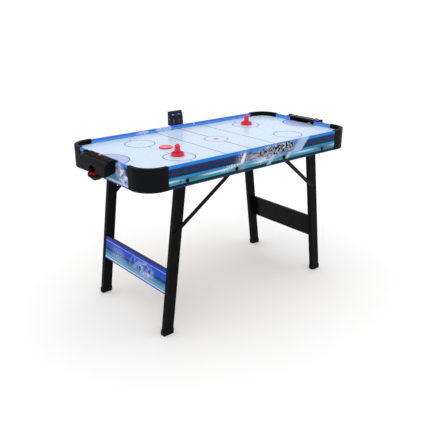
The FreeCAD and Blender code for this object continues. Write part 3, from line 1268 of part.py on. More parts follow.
# ---- Everything, by node ----
def all_nodes():
    nodes = {
        "front_apron": front_apron(),
        "rear_apron": rear_apron(),
        "left_end_apron": left_end_apron(),
        "right_end_apron": mirror_x(left_end_apron()),
        "corner_caps": group(on_all_corners(corner_cap())),
        "corner_blocks": group(on_all_corners(corner_block())),
        "playfield_board": playfield_board(),
        "bottom_board": bottom_board(),
        "chamber_battens": chamber_battens(),
        "score_rods": group([score_rod(), mirror_x(score_rod())]),
        "left_score_slider": score_slider(LEFT_SLIDER_Y),
        "right_score_slider": mirror_x(score_slider(RIGHT_SLIDER_Y)),
        "left_pusher": pusher(LEFT_PUSHER_X, LEFT_PUSHER_Y),
        "right_pusher": pusher(RIGHT_PUSHER_X, RIGHT_PUSHER_Y),
        "field_puck": puck(FIELD_PUCK_X, FIELD_PUCK_Y, FIELD_TOP),
        "goal_puck": puck(end_x(GOAL_PUCK_OUT), 0, TOP - TRAY_FLOOR_BELOW_TOP),
        "score_unit_front": score_unit_front(),
        "score_unit_back": score_unit_back(),
        "score_circuit": score_circuit(),
        "score_displays": score_displays(),
        "score_button": score_button(),
        "score_unit_bracket": score_unit_bracket(),
        "blower_housing": blower_housing(),
        "blower_motor": blower_motor(),
        "blower_impeller": blower_impeller(),
        "blower_guard": blower_guard(),
        "blower_wire": blower_wire(),
        "power_inlet": power_inlet(),
        "switch_frame": switch_frame(),
        "switch_rocker": rocker()}
    end_screws = goal_screws()
    nodes["table_screws"] = group(corner_screws() + bracket_screws() + blower_screws()
                                  + end_screws + [mirror_x(piece) for piece in end_screws])
    bolts, nuts, spacers = pivot_pieces()
    nodes["pivot_bolts"] = bolts
    nodes["pivot_nuts"] = nuts
    nodes["pivot_spacers"] = spacers
    for side in SIDES:
        nodes[side + "_goal_frame"] = on_side(goal_frame(), side)
        nodes[side + "_goal_box"] = on_side(goal_box(), side)
        nodes[side + "_puck_tray"] = on_side(puck_tray(), side)
        nodes[side + "_score_rail"] = on_side(score_rail(), side)
        nodes[side + "_leg_panel"] = leg_panel(side)
        nodes[side + "_panel_screws"] = panel_screws(side)
        nodes[side + "_foot_caps"] = foot_caps(side)
        for row in ROWS:
            nodes[side + "_" + row + "_leg"] = leg(side, row)
            nodes[side + "_" + row + "_brace"] = brace(side, row)
            nodes[side + "_" + row + "_brace_bolt"] = brace_bolt(side, row)
    return nodes


os.makedirs("parts", exist_ok=True)
for name, shape in all_nodes().items():
    shape.translate(FRAME_SHIFT)
    shape.exportStep("parts/" + name + ".step")
    solids = shape.Solids
    valid = all(solid.isValid() and solid.isClosed() for solid in solids)
    print(name, len(solids), "valid" if valid else "NOT VALID", round(shape.Volume))
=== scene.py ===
import json
import math

import bmesh
import bpy
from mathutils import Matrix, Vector


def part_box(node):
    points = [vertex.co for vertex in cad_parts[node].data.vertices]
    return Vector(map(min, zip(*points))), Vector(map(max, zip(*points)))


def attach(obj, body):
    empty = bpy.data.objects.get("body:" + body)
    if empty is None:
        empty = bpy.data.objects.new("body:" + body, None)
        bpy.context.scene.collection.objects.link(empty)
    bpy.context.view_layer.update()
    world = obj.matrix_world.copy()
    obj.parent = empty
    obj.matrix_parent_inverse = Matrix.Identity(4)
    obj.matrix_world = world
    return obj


# Air hockey table.  Metres.  All printed graphics are generic shapes, placed from the CAD boxes.

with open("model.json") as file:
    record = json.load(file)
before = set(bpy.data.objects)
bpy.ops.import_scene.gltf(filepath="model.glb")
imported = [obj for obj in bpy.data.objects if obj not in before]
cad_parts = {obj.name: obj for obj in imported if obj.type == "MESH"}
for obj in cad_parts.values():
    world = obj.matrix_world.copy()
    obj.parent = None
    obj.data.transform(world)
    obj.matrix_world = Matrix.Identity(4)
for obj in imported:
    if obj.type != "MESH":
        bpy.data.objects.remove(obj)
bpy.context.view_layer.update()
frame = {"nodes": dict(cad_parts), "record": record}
nodes = frame["nodes"]

# ---- Places, from the CAD boxes ----
front_low, front_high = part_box("front_apron")
REAR_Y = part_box("rear_apron")[1].y
CENTRE_Y = (front_low.y + REAR_Y) / 2
HALF_WIDTH = (REAR_Y - front_low.y) / 2
HALF_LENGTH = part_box("right_end_apron")[1].x
TOP = front_high.z
APRON_BOTTOM = front_low.z
FIELD_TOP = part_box("playfield_board")[1].z
WALL = front_high.y - front_low.y
PANEL_BOTTOM, PANEL_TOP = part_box("left_leg_panel")[0].z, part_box("left_leg_panel")[1].z
CASE_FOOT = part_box("score_unit_front")[0].z
display_low, display_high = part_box("score_displays")

# ---- Print on the field: places, radii and half widths of its lines ----
GOAL_X = HALF_LENGTH - WALL
CREASE_RADIUS, CREASE_LINE = 0.100, 0.0030
ARC_RADIUS, ARC_LINE = 0.114, 0.0013
ARC_MIDDLE, ARC_HALF = 0.084, 0.012       # the stretch of the arc that is drawn, by distance from y = 0
ZONE_X, ZONE_LINE = 0.146, 0.0023
FACE_OFF_X, FACE_OFF_Y = 0.330, 0.150
FACE_OFF_RADIUS, FACE_OFF_LINE = 0.069, 0.0028
TICK_END, TICK_LINE = 0.094, 0.0024       # the ticks run from the face-off ring out to TICK_END
BAR_Y, BAR_HALVES = 0.1465, (0.016, 0.0014)
STEM_HALVES = (0.0009, 0.010)
MIDDLE_RADIUS, MIDDLE_LINE = 0.055, 0.0023
HALFWAY_LINE = 0.0036
HALFWAY_START = 0.052                     # the red line starts here, just inside the middle ring
DOT_RADIUS = 0.0140

# ---- Print on the score unit and on the score rails ----
DIGIT_MODULE_HALF = 0.0067
COLUMN_X = display_high.x - DIGIT_MODULE_HALF
COLUMN_MIDDLE = CASE_FOOT + 0.034
COLUMN_HALF_WIDTH, COLUMN_HALF_HEIGHT = 0.0145, 0.0315
COLUMN_BORDER = 0.0013
LABEL_MIDDLE, LABEL_HALVES = CASE_FOOT + 0.053, (0.0072, 0.0034)
CAPTION_MIDDLE, CAPTION_HALVES = CASE_FOOT + 0.0095, (0.0052, 0.0016)
MARKS_PER_METRE = 420.0
RAIL_TICK_PITCH = 0.0095
RAIL_TICK_FOOT = TOP + 0.0029
RAIL_TICK_REACH = 0.103

# ---- Score digits and the two small screws of the front apron ----
DIGIT_WIDTH, DIGIT_HEIGHT, DIGIT_STROKE = 0.0062, 0.0124, 0.0018
DIGIT_SLANT = 0.10
DIGIT_PROUD, DIGIT_SUNK = 0.0004, 0.0002
SCREW_X, SCREW_Z = 0.443, TOP - 0.028
SCREW_RADIUS, SCREW_PROUD, SCREW_STEPS = 0.0026, 0.0008, 24
SCREW_DOME = ((1.0, 0.0), (0.96, 0.45), (0.78, 0.80), (0.50, 0.97))    # shares of radius and of height
RECESS_SHARE, RECESS_HEIGHT = 0.30, 0.35

# ---- Studio, and the camera that was solved from the photo ----
WORLD_STRENGTH = 1.10
FLOOR_HALF, FLOOR_CELLS = 300.0, 8
CAMERA_PLACE = (-1.75309, -2.08557, 1.37423)
CAMERA_PITCH, CAMERA_HEADING = 69.55, -40
CAMERA_LENS, CAMERA_SENSOR, CAMERA_REACH = 49.22, 36.0, 900


def linear(channel):
    """One sRGB channel, 0 to 255, as scene-linear light."""
    value = channel / 255
    return value / 12.92 if value <= 0.04045 else ((value + 0.055) / 1.055) ** 2.4


def rgb(r, g, b):
    """A colour given in sRGB, 0 to 255."""
    return (linear(r), linear(g), linear(b), 1.0)


AZURE = rgb(28, 128, 218)
VIOLET = rgb(84, 122, 246)
CYAN = rgb(92, 184, 240)
NAVY = rgb(34, 46, 92)
DARK_GREEN = rgb(18, 48, 50)
BLUE = rgb(24, 124, 190)
TEAL = rgb(34, 152, 162)
INK = rgb(20, 27, 36)
DEEP_BLUE = rgb(40, 54, 120)
LAVENDER = rgb(176, 204, 240)
WHITE = rgb(232, 238, 250)
BOARD = rgb(150, 112, 74)
LINE_BLUE = rgb(26, 84, 172)
PANEL_PALE = rgb(196, 212, 246)
END_LOW_BAND = rgb(186, 200, 250)


# ---- A small language for node materials ----
class Finish:
    """One node material round a Principled shader; the functions below call theirs m."""

    def __init__(self, name, roughness=0.5, specular=0.5, metallic=0.0, coat=0.0, coat_roughness=0.1):
        self.material = bpy.data.materials.new(name)
        self.material.use_nodes = True
        self.tree = self.material.node_tree
        self.tree.nodes.clear()
        out = self.node("OutputMaterial")
        self.shader = self.node("BsdfPrincipled")
        self.tree.links.new(self.shader.outputs[0], out.inputs[0])
        self.shader.inputs["Specular IOR Level"].default_value = specular
        self.shader.inputs["Metallic"].default_value = metallic
        self.shader.inputs["Coat Weight"].default_value = coat
        self.shader.inputs["Coat Roughness"].default_value = coat_roughness
        self.shader.inputs["Roughness"].default_value = roughness
        source = self.node("TexCoord")
        self.place = source.outputs["Object"]
        self.normal = source.outputs["Normal"]
        self.x, self.y, self.z = self.split(self.place)

    def node(self, kind):
        return self.tree.nodes.new("ShaderNode" + kind)

    def put(self, socket, value):
        """Links another node's output to a socket, or sets the socket to a constant."""
        if isinstance(value, bpy.types.NodeSocket):
            self.tree.links.new(value, socket)
        else:
            socket.default_value = value

    def split(self, vector):
        node = self.node("SeparateXYZ")
        self.put(node.inputs[0], vector)
        return node.outputs[0], node.outputs[1], node.outputs[2]

    def join(self, x, y, z=0.0):
        node = self.node("CombineXYZ")
        for socket, value in zip(node.inputs, (x, y, z)):
            self.put(socket, value)
        return node.outputs[0]

    def shifted(self, u, v, along, up=0.0):
        """The (u, v) plane moved so far that noise read on it has nothing to do with the first."""
        return self.join(self.math("ADD", u, along), self.math("ADD", v, up) if up else v)

    def math(self, operation, *values):
        node = self.node("Math")
        node.operation = operation
        for socket, value in zip(node.inputs, values):
            self.put(socket, value)
        return node.outputs[0]

    def span(self, value, low, high, to_low=0.0, to_high=1.0, kind="SMOOTHSTEP"):
        """Goes from to_low to to_high while the value goes from low to high."""
        node = self.node("MapRange")
        node.interpolation_type = kind
        for socket, item in zip(node.inputs, (value, low, high, to_low, to_high)):
            self.put(socket, item)
        return node.outputs[0]

    def any_of(self, *masks):
        result = masks[0]
        for mask in masks[1:]:
            result = self.math("MAXIMUM", result, mask)
        return result

    def all_of(self, *masks):
        result = masks[0]
        for mask in masks[1:]:
            result = self.math("MULTIPLY", result, mask)
        return result

    def near(self, value, middle, half, soft):
        """1 where the value is within half of the middle."""
        away = self.math("ABSOLUTE", self.math("SUBTRACT", value, middle))
        return self.span(away, half + soft, half - soft)

    def oblong(self, u, v, centre, halves, softs):
        """1 inside a rectangle."""
        return self.all_of(self.near(u, centre[0], halves[0], softs[0]),
                           self.near(v, centre[1], halves[1], softs[1]))

    def noise(self, scale, detail=3.0, roughness=0.55, place=None, distortion=0.0):
        node = self.node("TexNoise")
        self.put(node.inputs["Vector"], place or self.place)
        node.inputs["Scale"].default_value = scale
        node.inputs["Detail"].default_value = detail
        node.inputs["Roughness"].default_value = roughness
        node.inputs["Distortion"].default_value = distortion
        return node.outputs["Fac"]

    def cells(self, scale, place=None):
        node = self.node("TexVoronoi")
        self.put(node.inputs["Vector"], place or self.place)
        node.inputs["Scale"].default_value = scale
        return node.outputs["Distance"]

    def stretched(self, x, y, z):
        node = self.node("Mapping")
        self.put(node.inputs["Vector"], self.place)
        node.inputs["Scale"].default_value = (x, y, z)
        return node.outputs[0]

    def mix(self, fac, a, b):
        node = self.node("Mix")
        node.data_type = "RGBA"
        self.put(node.inputs["Factor"], fac)
        self.put(node.inputs[6], a)
        self.put(node.inputs[7], b)
        return node.outputs[2]

    def over(self, colour, mask, strength, ink):
        """Ink over a colour where the mask is 1, at a share of its full strength."""
        return self.mix(self.math("MULTIPLY", mask, strength), colour, ink)

    def tinted(self, colour, fac, low, high):
        """A colour made darker and lighter by a factor from 0 to 1."""
        strength = self.span(fac, 0.25, 0.75, low, high, "LINEAR")
        node = self.node("Mix")
        node.data_type = "RGBA"
        node.blend_type = "MULTIPLY"
        node.inputs["Factor"].default_value = 1.0
        self.put(node.inputs[6], colour)
        self.put(node.inputs[7], self.join(strength, strength, strength))
        return node.outputs[2]

    def bands(self, value, low, high, stops, soft=0.0004):
        """Printed stripes: (where it starts over low, colour), from low to high."""
        node = self.node("ValToRGB")
        ramp = node.color_ramp
        ramp.interpolation = "LINEAR"
        places = [(0.0, stops[0][1])]
        for (_, before), (start, colour) in zip(stops, stops[1:]):
            places += [(start - soft, before), (start + soft, colour)]
        share = [(place / (high - low), colour) for place, colour in places]
        ramp.elements[0].position, ramp.elements[0].color = share[0]
        ramp.elements[1].position, ramp.elements[1].color = 1.0, share[-1][1]
        for position, colour in share[1:]:
            ramp.elements.new(position).color = colour
        self.put(node.inputs[0], self.span(value, low, high, kind="LINEAR"))
        return node.outputs[0]

    def blot(self, plane, centre, radii, angle, edge):
        """1 inside an ellipse of a flat (u, v) plane."""
        node = self.node("Mapping")
        node.vector_type = "TEXTURE"
        self.put(node.inputs["Vector"], plane)
        node.inputs["Location"].default_value = (centre[0], centre[1], 0)
        node.inputs["Rotation"].default_value = (0, 0, math.radians(angle))
        node.inputs["Scale"].default_value = (radii[0], radii[1], 1)
        length = self.node("VectorMath")
        length.operation = "LENGTH"
        self.put(length.inputs[0], node.outputs[0])
        return self.span(length.outputs["Value"], 1 + edge, 1 - edge)

    def blots(self, plane, base, *rows):
        """Several blots; each row is (u, height over the base), (radii), angle, softness of the edge."""
        return self.any_of(*[self.blot(plane, (u, base + height), *rest) for (u, height), *rest in rows])

    def ring(self, u, v, centre, radius, half, soft=0.0004):
        """1 on a circle's line."""
        du = self.math("SUBTRACT", u, centre[0])
        dv = self.math("SUBTRACT", v, centre[1])
        squares = [self.math("MULTIPLY", side, side) for side in (du, dv)]
        return self.near(self.math("SQRT", self.math("ADD", *squares)), radius, half, soft)

    def warped(self, u, v, scale, amount):
        """The (u, v) plane pushed about by noise, for torn and splashed edges."""
        shift_u, shift_v = [
            self.span(self.noise(scale, 3, 0.6, plane), 0, 1, -amount, amount, "LINEAR")
            for plane in (self.join(u, v), self.shifted(u, v, 3.7, 1.9))]
        return self.join(self.math("ADD", u, shift_u), self.math("ADD", v, shift_v))

    def bump(self, height, distance, strength=1.0, under=None):
        node = self.node("Bump")
        node.inputs["Strength"].default_value = strength
        node.inputs["Distance"].default_value = distance
        self.put(node.inputs["Height"], height)
        if under is not None:
            self.put(node.inputs["Normal"], under)
        self.put(self.shader.inputs["Normal"], node.outputs[0])
        return node.outputs[0]

    def paint(self, colour):
        self.put(self.shader.inputs["Base Color"], colour)

    def rough(self, fac, low, high):
        self.put(self.shader.inputs["Roughness"], self.span(fac, 0.3, 0.7, low, high, "LINEAR"))


# ---- Grain that several finishes share ----
def mottled(m, base, grain):
    """Moulded colour with faint flow marks and a fine grain."""
    flow = m.tinted(base, m.noise(11, 3, 0.5), 0.9, 1.12)
    return m.tinted(flow, m.noise(grain * 0.4, 2, 0.6), 0.92, 1.08)


def spark_grain(m, grain, depth):
    return m.bump(m.noise(grain, 2, 0.65), depth, 0.45)


def moulded_surface(m, roughness, grain, depth):
    """Rubbed patches, and flow marks over the spark grain."""
    m.rough(m.noise(38, 4, 0.62), roughness - 0.08, roughness + 0.08)
    m.bump(m.noise(22, 2, 0.5), 0.00025, 0.12, spark_grain(m, grain, depth))


def bare_board(m):
    return m.tinted(BOARD, m.noise(420, 4, 0.7), 0.82, 1.12)


def film_texture(m):
    m.bump(m.noise(260, 2, 0.5), 0.00006, 0.35)


# ---- Printed film on the aprons: u runs along the outside, v is the height ----
def apron_stripes(m, u, v, low_band):
    """Stripes by their heights over the apron's bottom edge, with one silver band that comes and goes."""
    stripes = m.bands(v, APRON_BOTTOM, TOP, [
        (0, DEEP_BLUE), (0.0055, low_band), (0.0150, TEAL), (0.0245, INK), (0.0255, TEAL),
        (0.0260, BLUE), (0.0470, DARK_GREEN), (0.0555, NAVY), (0.0825, AZURE)])
    shine_start, shine_pitch = 0.143, 0.264
    wave = m.math("COSINE", m.math("MULTIPLY", m.math("SUBTRACT", u, shine_start), math.tau / shine_pitch))
    silver = m.mix(m.span(wave, -0.9, 1.0, 1.0, 0.0, "LINEAR"), rgb(84, 98, 114), rgb(202, 212, 240))
    colour = m.mix(m.near(v, APRON_BOTTOM + 0.0305, 0.0042, 0.0006), stripes, silver)
    hairline = m.near(v, APRON_BOTTOM + 0.0412, 0.0007, 0.0004)
    return m.mix(hairline, colour, rgb(66, 176, 222))


def long_splashes(m, colour, u, v):
    """A pale haze and two slanted shards, a tangle of brush marks over them, then white spray."""
    plane = m.join(u, v)
    torn, fine = m.warped(u, v, 60, 0.010), m.warped(u, v, 150, 0.006)

    haze = m.blots(torn, APRON_BOTTOM, ((0.085, 0.063), (0.135, 0.030), 4, 0.35),
                   ((-0.02, 0.057), (0.055, 0.026), 0, 0.4))
    streak = m.noise(26, 4, 0.6, m.join(u, m.math("MULTIPLY", v, 3.0)))
    colour = m.over(colour, m.all_of(haze, m.span(streak, 0.30, 0.62)), 0.82, rgb(190, 196, 216))
    rise = m.math("SUBTRACT", v, APRON_BOTTOM + 0.063)
    lean = m.math("SUBTRACT", u, m.math("MULTIPLY", rise, 0.95))
    broad_shard = m.all_of(m.span(lean, 0.190, 0.236), m.span(lean, 0.286, 0.276),
                           m.span(v, APRON_BOTTOM + 0.023, APRON_BOTTOM + 0.047))
    colour = m.over(colour, broad_shard, 0.86, LAVENDER)
    thin_shard = m.all_of(m.near(lean, 0.098, 0.012, 0.004),
                          m.span(v, APRON_BOTTOM + 0.055, APRON_BOTTOM + 0.040),
                          m.span(v, APRON_BOTTOM + 0.003, APRON_BOTTOM + 0.011))
    colour = m.over(colour, thin_shard, 0.72, LAVENDER)

    # the tangle: contour lines of warped noise, broken by a second noise
    body = m.blots(fine, APRON_BOTTOM, ((0.060, 0.068), (0.070, 0.024), 2, 0.10),
                   ((0.150, 0.071), (0.065, 0.023), 3, 0.10))
    slant = m.join(m.math("ADD", u, m.math("MULTIPLY", v, -0.55)), m.math("MULTIPLY", v, 0.5))
    tangle = m.noise(44, 1.0, 0.5, slant, 0.5)
    contour = m.math("PINGPONG", m.math("MULTIPLY", tangle, 6.5), 0.5)
    broken = m.span(m.noise(70, 2, 0.5, m.shifted(u, v, 5.0)), 0.36, 0.44)
    strokes = m.all_of(m.span(contour, 0.20, 0.26), body, broken)
    light = m.all_of(m.span(contour, 0.16, 0.08), body)
    colour = m.over(colour, light, 0.80, rgb(196, 202, 222))
    colour = m.mix(strokes, colour, rgb(20, 22, 28))

    # one slanting dab of paint that fades into fine spray on both sides
    dab = m.blots(fine, APRON_BOTTOM, ((-0.105, 0.062), (0.0090, 0.026), -28, 0.30))
    mist = m.blots(plane, APRON_BOTTOM, ((-0.108, 0.057), (0.030, 0.034), -28, 0.75))
    grain = m.noise(210, 2, 0.6, m.shifted(u, v, 9.0))
    spray = m.math("MULTIPLY", m.all_of(mist, m.span(grain, 0.44, 0.56)), 0.60)
    colour = m.mix(m.any_of(m.math("MULTIPLY", dab, 0.95), spray), colour, WHITE)
    trail = m.blots(plane, APRON_BOTTOM, ((-0.180, 0.0350), (0.052, 0.0085), 6, 0.60),
                    ((0.008, 0.0340), (0.024, 0.0100), 20, 0.60),
                    ((0.175, 0.0310), (0.018, 0.0090), 40, 0.60))
    spotted = m.span(m.noise(120, 2, 0.6, m.shifted(u, v, 6.0)), 0.42, 0.54)
    colour = m.over(colour, m.all_of(trail, spotted), 0.85, WHITE)
    area = m.blots(plane, APRON_BOTTOM, ((-0.140, 0.073), (0.075, 0.020), 0, 0.3))
    flecks = m.all_of(m.span(m.cells(190, plane), 0.13, 0.08), area, m.span(grain, 0.52, 0.58))
    return m.over(colour, flecks, 0.85, WHITE)


def end_splashes(m, colour, u, v):
    """A cloud with dark and pale marks in it."""
    plane = m.join(u, v)
    cloud = m.blots(m.warped(u, v, 60, 0.010), APRON_BOTTOM, ((-0.136, 0.057), (0.040, 0.034), 10, 0.25),
                    ((-0.160, 0.035), (0.034, 0.018), 0, 0.3))
    colour = m.over(colour, cloud, 0.9, rgb(158, 172, 212))
    dark = m.all_of(m.span(m.noise(58, 2, 0.5, plane), 0.57, 0.62), cloud)
    colour = m.over(colour, dark, 0.8, rgb(40, 46, 62))
    pale = m.all_of(m.span(m.noise(46, 2, 0.5, m.shifted(u, v, 2.0)), 0.52, 0.58), cloud)
    return m.over(colour, pale, 0.85, WHITE)


def field_side(m, along, lengthwise, v, bare):
    """The side that faces the field, and the top; bare board below the field."""
    colour = m.bands(v, FIELD_TOP, TOP, [(0, rgb(60, 148, 212)), (0.0030, CYAN), (0.0095, VIOLET)])
    if along == "x":
        ragged = m.warped(lengthwise, v, 60, 0.010)
        patches = m.blots(ragged, FIELD_TOP, ((-0.094, 0.011), (0.049, 0.010), 0, 0.2),
                          ((-0.220, 0.010), (0.036, 0.010), 0, 0.2),
                          ((0.095, 0.016), (0.005, 0.008), 20, 0.3))
        worn = m.span(m.noise(80, 3, 0.6, m.join(lengthwise, v)), 0.38, 0.47)
        colour = m.over(colour, m.all_of(patches, worn), 0.85, rgb(200, 220, 250))
    return m.mix(m.span(v, FIELD_TOP - 0.0002, FIELD_TOP - 0.0006), colour, bare)


def printed_apron(name, along):
    """Stripes all round, splashes along the outside; along names the axis that runs along the apron."""
    m = Finish(name, roughness=0.28, specular=0.07, coat=0.03, coat_roughness=0.12)
    y = m.math("SUBTRACT", m.y, CENTRE_Y)
    if along == "x":
        lengthwise, through, reach, low_band, splashes = m.x, y, HALF_WIDTH, INK, long_splashes
    else:
        lengthwise, through, reach, low_band, splashes = y, m.x, HALF_LENGTH, END_LOW_BAND, end_splashes
    u = m.math("MULTIPLY", lengthwise, m.math("MULTIPLY", m.math("SIGN", through), -1.0))
    v = m.z
    outer = splashes(m, apron_stripes(m, u, v, low_band), u, v)

    bare = bare_board(m)
    depth = m.math("SUBTRACT", reach, m.math("ABSOLUTE", through))
    inside = m.span(depth, WALL * 0.42, WALL * 0.62)
    colour = m.mix(inside, outer, field_side(m, along, lengthwise, v, bare))
    underside = m.span(m.split(m.normal)[2], -0.6, -0.8)
    colour = m.mix(underside, colour, bare)
    m.paint(m.tinted(colour, m.noise(7, 3, 0.5), 0.80, 0.86))
    m.rough(m.noise(30, 4, 0.6), 0.22, 0.36)
    film_texture(m)
    return m.material


def playfield():
    """Printed ice: lines, circles, creases and a wet-looking varnish."""
    m = Finish("playfield_print", roughness=0.26, specular=0.10, coat=0.03, coat_roughness=0.06)
    x, y = m.x, m.math("SUBTRACT", m.y, CENTRE_Y)
    ax, ay = m.math("ABSOLUTE", x), m.math("ABSOLUTE", y)
    colour = m.tinted(rgb(196, 214, 236), m.noise(3.5, 3, 0.5), 0.975, 1.02)
    colour = m.tinted(colour, m.noise(30, 5, 0.65, m.stretched(0.35, 2.4, 1)), 0.985, 1.012)

    # goal creases, each with a short arc round it
    crease = m.blot(m.join(ax, y), (GOAL_X, 0), (CREASE_RADIUS, CREASE_RADIUS), 0, 0.006)
    colour = m.over(colour, crease, 0.9, rgb(160, 172, 216))
    colour = m.mix(m.ring(ax, y, (GOAL_X, 0), CREASE_RADIUS, CREASE_LINE), colour, LINE_BLUE)
    arc = m.all_of(m.ring(ax, y, (GOAL_X, 0), ARC_RADIUS, ARC_LINE), m.near(ay, ARC_MIDDLE, ARC_HALF, 0.002))
    colour = m.over(colour, arc, 0.8, rgb(160, 136, 132))

    colour = m.over(colour, m.near(ax, ZONE_X, ZONE_LINE, 0.0005), 0.95, rgb(48, 80, 116))

    # face-off rings with their ticks, and a small cross in each
    spot = (FACE_OFF_X, FACE_OFF_Y)
    ticks = m.all_of(m.oblong(ax, ay, spot, (TICK_LINE, TICK_END), (0.0004, 0.0008)),
                     m.math("SUBTRACT", 1.0, m.near(ay, FACE_OFF_Y, FACE_OFF_RADIUS, 0.0008)))
    rings = m.any_of(m.ring(ax, ay, spot, FACE_OFF_RADIUS, FACE_OFF_LINE), ticks)
    colour = m.over(colour, rings, 0.9, LINE_BLUE)
    bar = m.oblong(ax, ay, (FACE_OFF_X, BAR_Y), BAR_HALVES, (0.001, 0.0005))
    stem = m.oblong(ax, ay, spot, STEM_HALVES, (0.0004, 0.001))
    colour = m.over(colour, m.any_of(bar, stem), 0.6, rgb(196, 120, 128))

    # halfway line, middle ring and dot
    halfway = m.all_of(m.near(x, 0, HALFWAY_LINE, 0.0005),
                       m.span(ay, HALFWAY_START - 0.001, HALFWAY_START + 0.001))
    colour = m.over(colour, halfway, 0.9, rgb(164, 26, 36))
    colour = m.mix(m.ring(x, y, (0, 0), MIDDLE_RADIUS, MIDDLE_LINE), colour, rgb(62, 90, 132))
    dot = m.blot(m.join(x, y), (0, 0), (DOT_RADIUS, DOT_RADIUS), 0, 0.05)
    colour = m.mix(dot, colour, rgb(200, 58, 68))

    edges = m.span(m.split(m.normal)[2], 0.8, 0.6)
    colour = m.mix(edges, colour, bare_board(m))
    scuffs = m.span(m.noise(240, 2, 0.6, m.stretched(0.12, 1, 1), 1.5), 0.66, 0.78)
    m.paint(m.over(colour, scuffs, 0.10, rgb(150, 170, 200)))
    m.rough(m.noise(14, 4, 0.6), 0.18, 0.30)
    m.bump(m.noise(8, 2, 0.5), 0.0002, 0.25, m.bump(m.noise(900, 2, 0.5), 0.00001, 0.4))
    return m.material


def leg_panel(name):
    """Printed film on the outer face only; the rest is black foil."""
    m = Finish(name, roughness=0.3, specular=0.07, coat=0.03, coat_roughness=0.12)
    y = m.math("SUBTRACT", m.y, CENTRE_Y)
    u = m.math("MULTIPLY", y, m.math("SIGN", m.x))
    v = m.z
    colour = m.bands(v, PANEL_BOTTOM, PANEL_TOP, [
        (0, rgb(34, 54, 160)), (0.0075, rgb(186, 206, 246)), (0.0125, PANEL_PALE),
        (0.0150, rgb(52, 160, 150)), (0.0205, rgb(124, 164, 208)), (0.0270, rgb(88, 138, 192)),
        (0.0370, rgb(52, 128, 196)), (0.0440, rgb(24, 96, 168)), (0.0500, rgb(10, 58, 62)),
        (0.0585, rgb(18, 96, 110)), (0.0600, rgb(30, 76, 200)), (0.0915, rgb(168, 184, 232)),
        (0.0938, rgb(34, 62, 182)), (0.1075, rgb(26, 40, 110))], 0.0005)

    # a broad cloud of spray towards one end, a small one towards the other
    plane, torn = m.join(u, v), m.warped(u, v, 45, 0.012)
    cloud = m.blots(torn, PANEL_BOTTOM, ((0.075, 0.052), (0.062, 0.040), -6, 0.35),
                    ((0.125, 0.045), (0.036, 0.040), 0, 0.3), ((0.010, 0.058), (0.044, 0.026), 0, 0.4))
    haze = m.span(m.noise(34, 3, 0.55, plane), 0.36, 0.62)
    colour = m.over(colour, m.all_of(cloud, haze), 0.80, rgb(150, 166, 222))
    flattened = m.join(m.math("ADD", u, 4.0), m.math("MULTIPLY", v, 0.8))
    bright = m.all_of(m.span(m.noise(64, 3, 0.6, flattened, 0.8), 0.51, 0.58),
                      m.blots(torn, PANEL_BOTTOM, ((0.086, 0.054), (0.052, 0.030), -4, 0.3)))
    colour = m.over(colour, bright, 0.75, rgb(200, 214, 246))
    smudge = m.all_of(m.blots(plane, PANEL_BOTTOM, ((-0.130, 0.050), (0.046, 0.030), -12, 0.85)),
                      m.span(m.noise(190, 2, 0.6, plane), 0.38, 0.62))
    colour = m.over(colour, smudge, 0.62, PANEL_PALE)
    streak = m.all_of(m.near(v, PANEL_BOTTOM + 0.032, 0.003, 0.002),
                      m.span(m.noise(20, 3, 0.6, m.join(u, m.math("MULTIPLY", v, 9.0))), 0.45, 0.6))
    colour = m.over(colour, streak, 0.5, rgb(48, 64, 96))

    outward = m.math("MULTIPLY", m.split(m.normal)[0], m.math("SIGN", m.x))
    foil = m.tinted(rgb(11, 11, 12), m.noise(60, 4, 0.6), 0.8, 1.25)
    film = m.tinted(colour, m.noise(9, 3, 0.5), 0.80, 0.87)
    m.paint(m.mix(m.span(outward, 0.75, 0.90), foil, film))
    m.rough(m.noise(26, 4, 0.6), 0.24, 0.42)
    film_texture(m)
    return m.material


# ---- Plain materials, each with its own grain and wear ----
def moulded(name, base, roughness, specular, grain=1400, depth=0.00010):
    """Moulded plastic with a fine spark grain, faint flow marks and rubbed patches."""
    m = Finish(name, specular=specular)
    m.paint(mottled(m, base, grain))
    moulded_surface(m, roughness, grain, depth)
    return m.material


def foil_wood(name):
    """Black wood-grain foil on the legs, scuffed towards the feet."""
    m = Finish(name, specular=0.05)
    grain = m.noise(210, 5, 0.7, m.stretched(1, 1, 0.045), 0.6)
    by_the_feet = m.span(m.z, 0.22, 0.02)
    scuff = m.all_of(m.span(m.noise(70, 5, 0.75), 0.60, 0.72), by_the_feet)
    m.paint(m.over(m.tinted(rgb(9, 9, 10), grain, 0.72, 1.35), scuff, 0.35, rgb(40, 38, 37)))
    m.rough(grain, 0.42, 0.58)
    m.bump(grain, 0.00015, 0.5)
    return m.material


def bare_wood(name, base, stretch):
    """Planed wood: fine grain over broad rings, drawn out along one axis."""
    m = Finish(name, roughness=0.75, specular=0.2)
    grain = m.noise(150, 5, 0.7, m.stretched(*stretch), 1.2)
    rings = m.noise(34, 3, 0.6, m.stretched(*stretch), 2.5)
    m.paint(m.tinted(m.tinted(base, grain, 0.78, 1.16), rings, 0.86, 1.1))
    m.rough(grain, 0.62, 0.84)
    m.bump(grain, 0.0003, 0.5)
    return m.material


def hardboard(name):
    """Brown hardboard of pressed fibres."""
    m = Finish(name, roughness=0.7, specular=0.2)
    fibre = m.noise(640, 5, 0.75)
    m.paint(m.tinted(m.tinted(rgb(126, 92, 62), fibre, 0.72, 1.2), m.noise(9, 3, 0.5), 0.9, 1.08))
    m.rough(fibre, 0.58, 0.8)
    m.bump(fibre, 0.0002, 0.5)
    return m.material


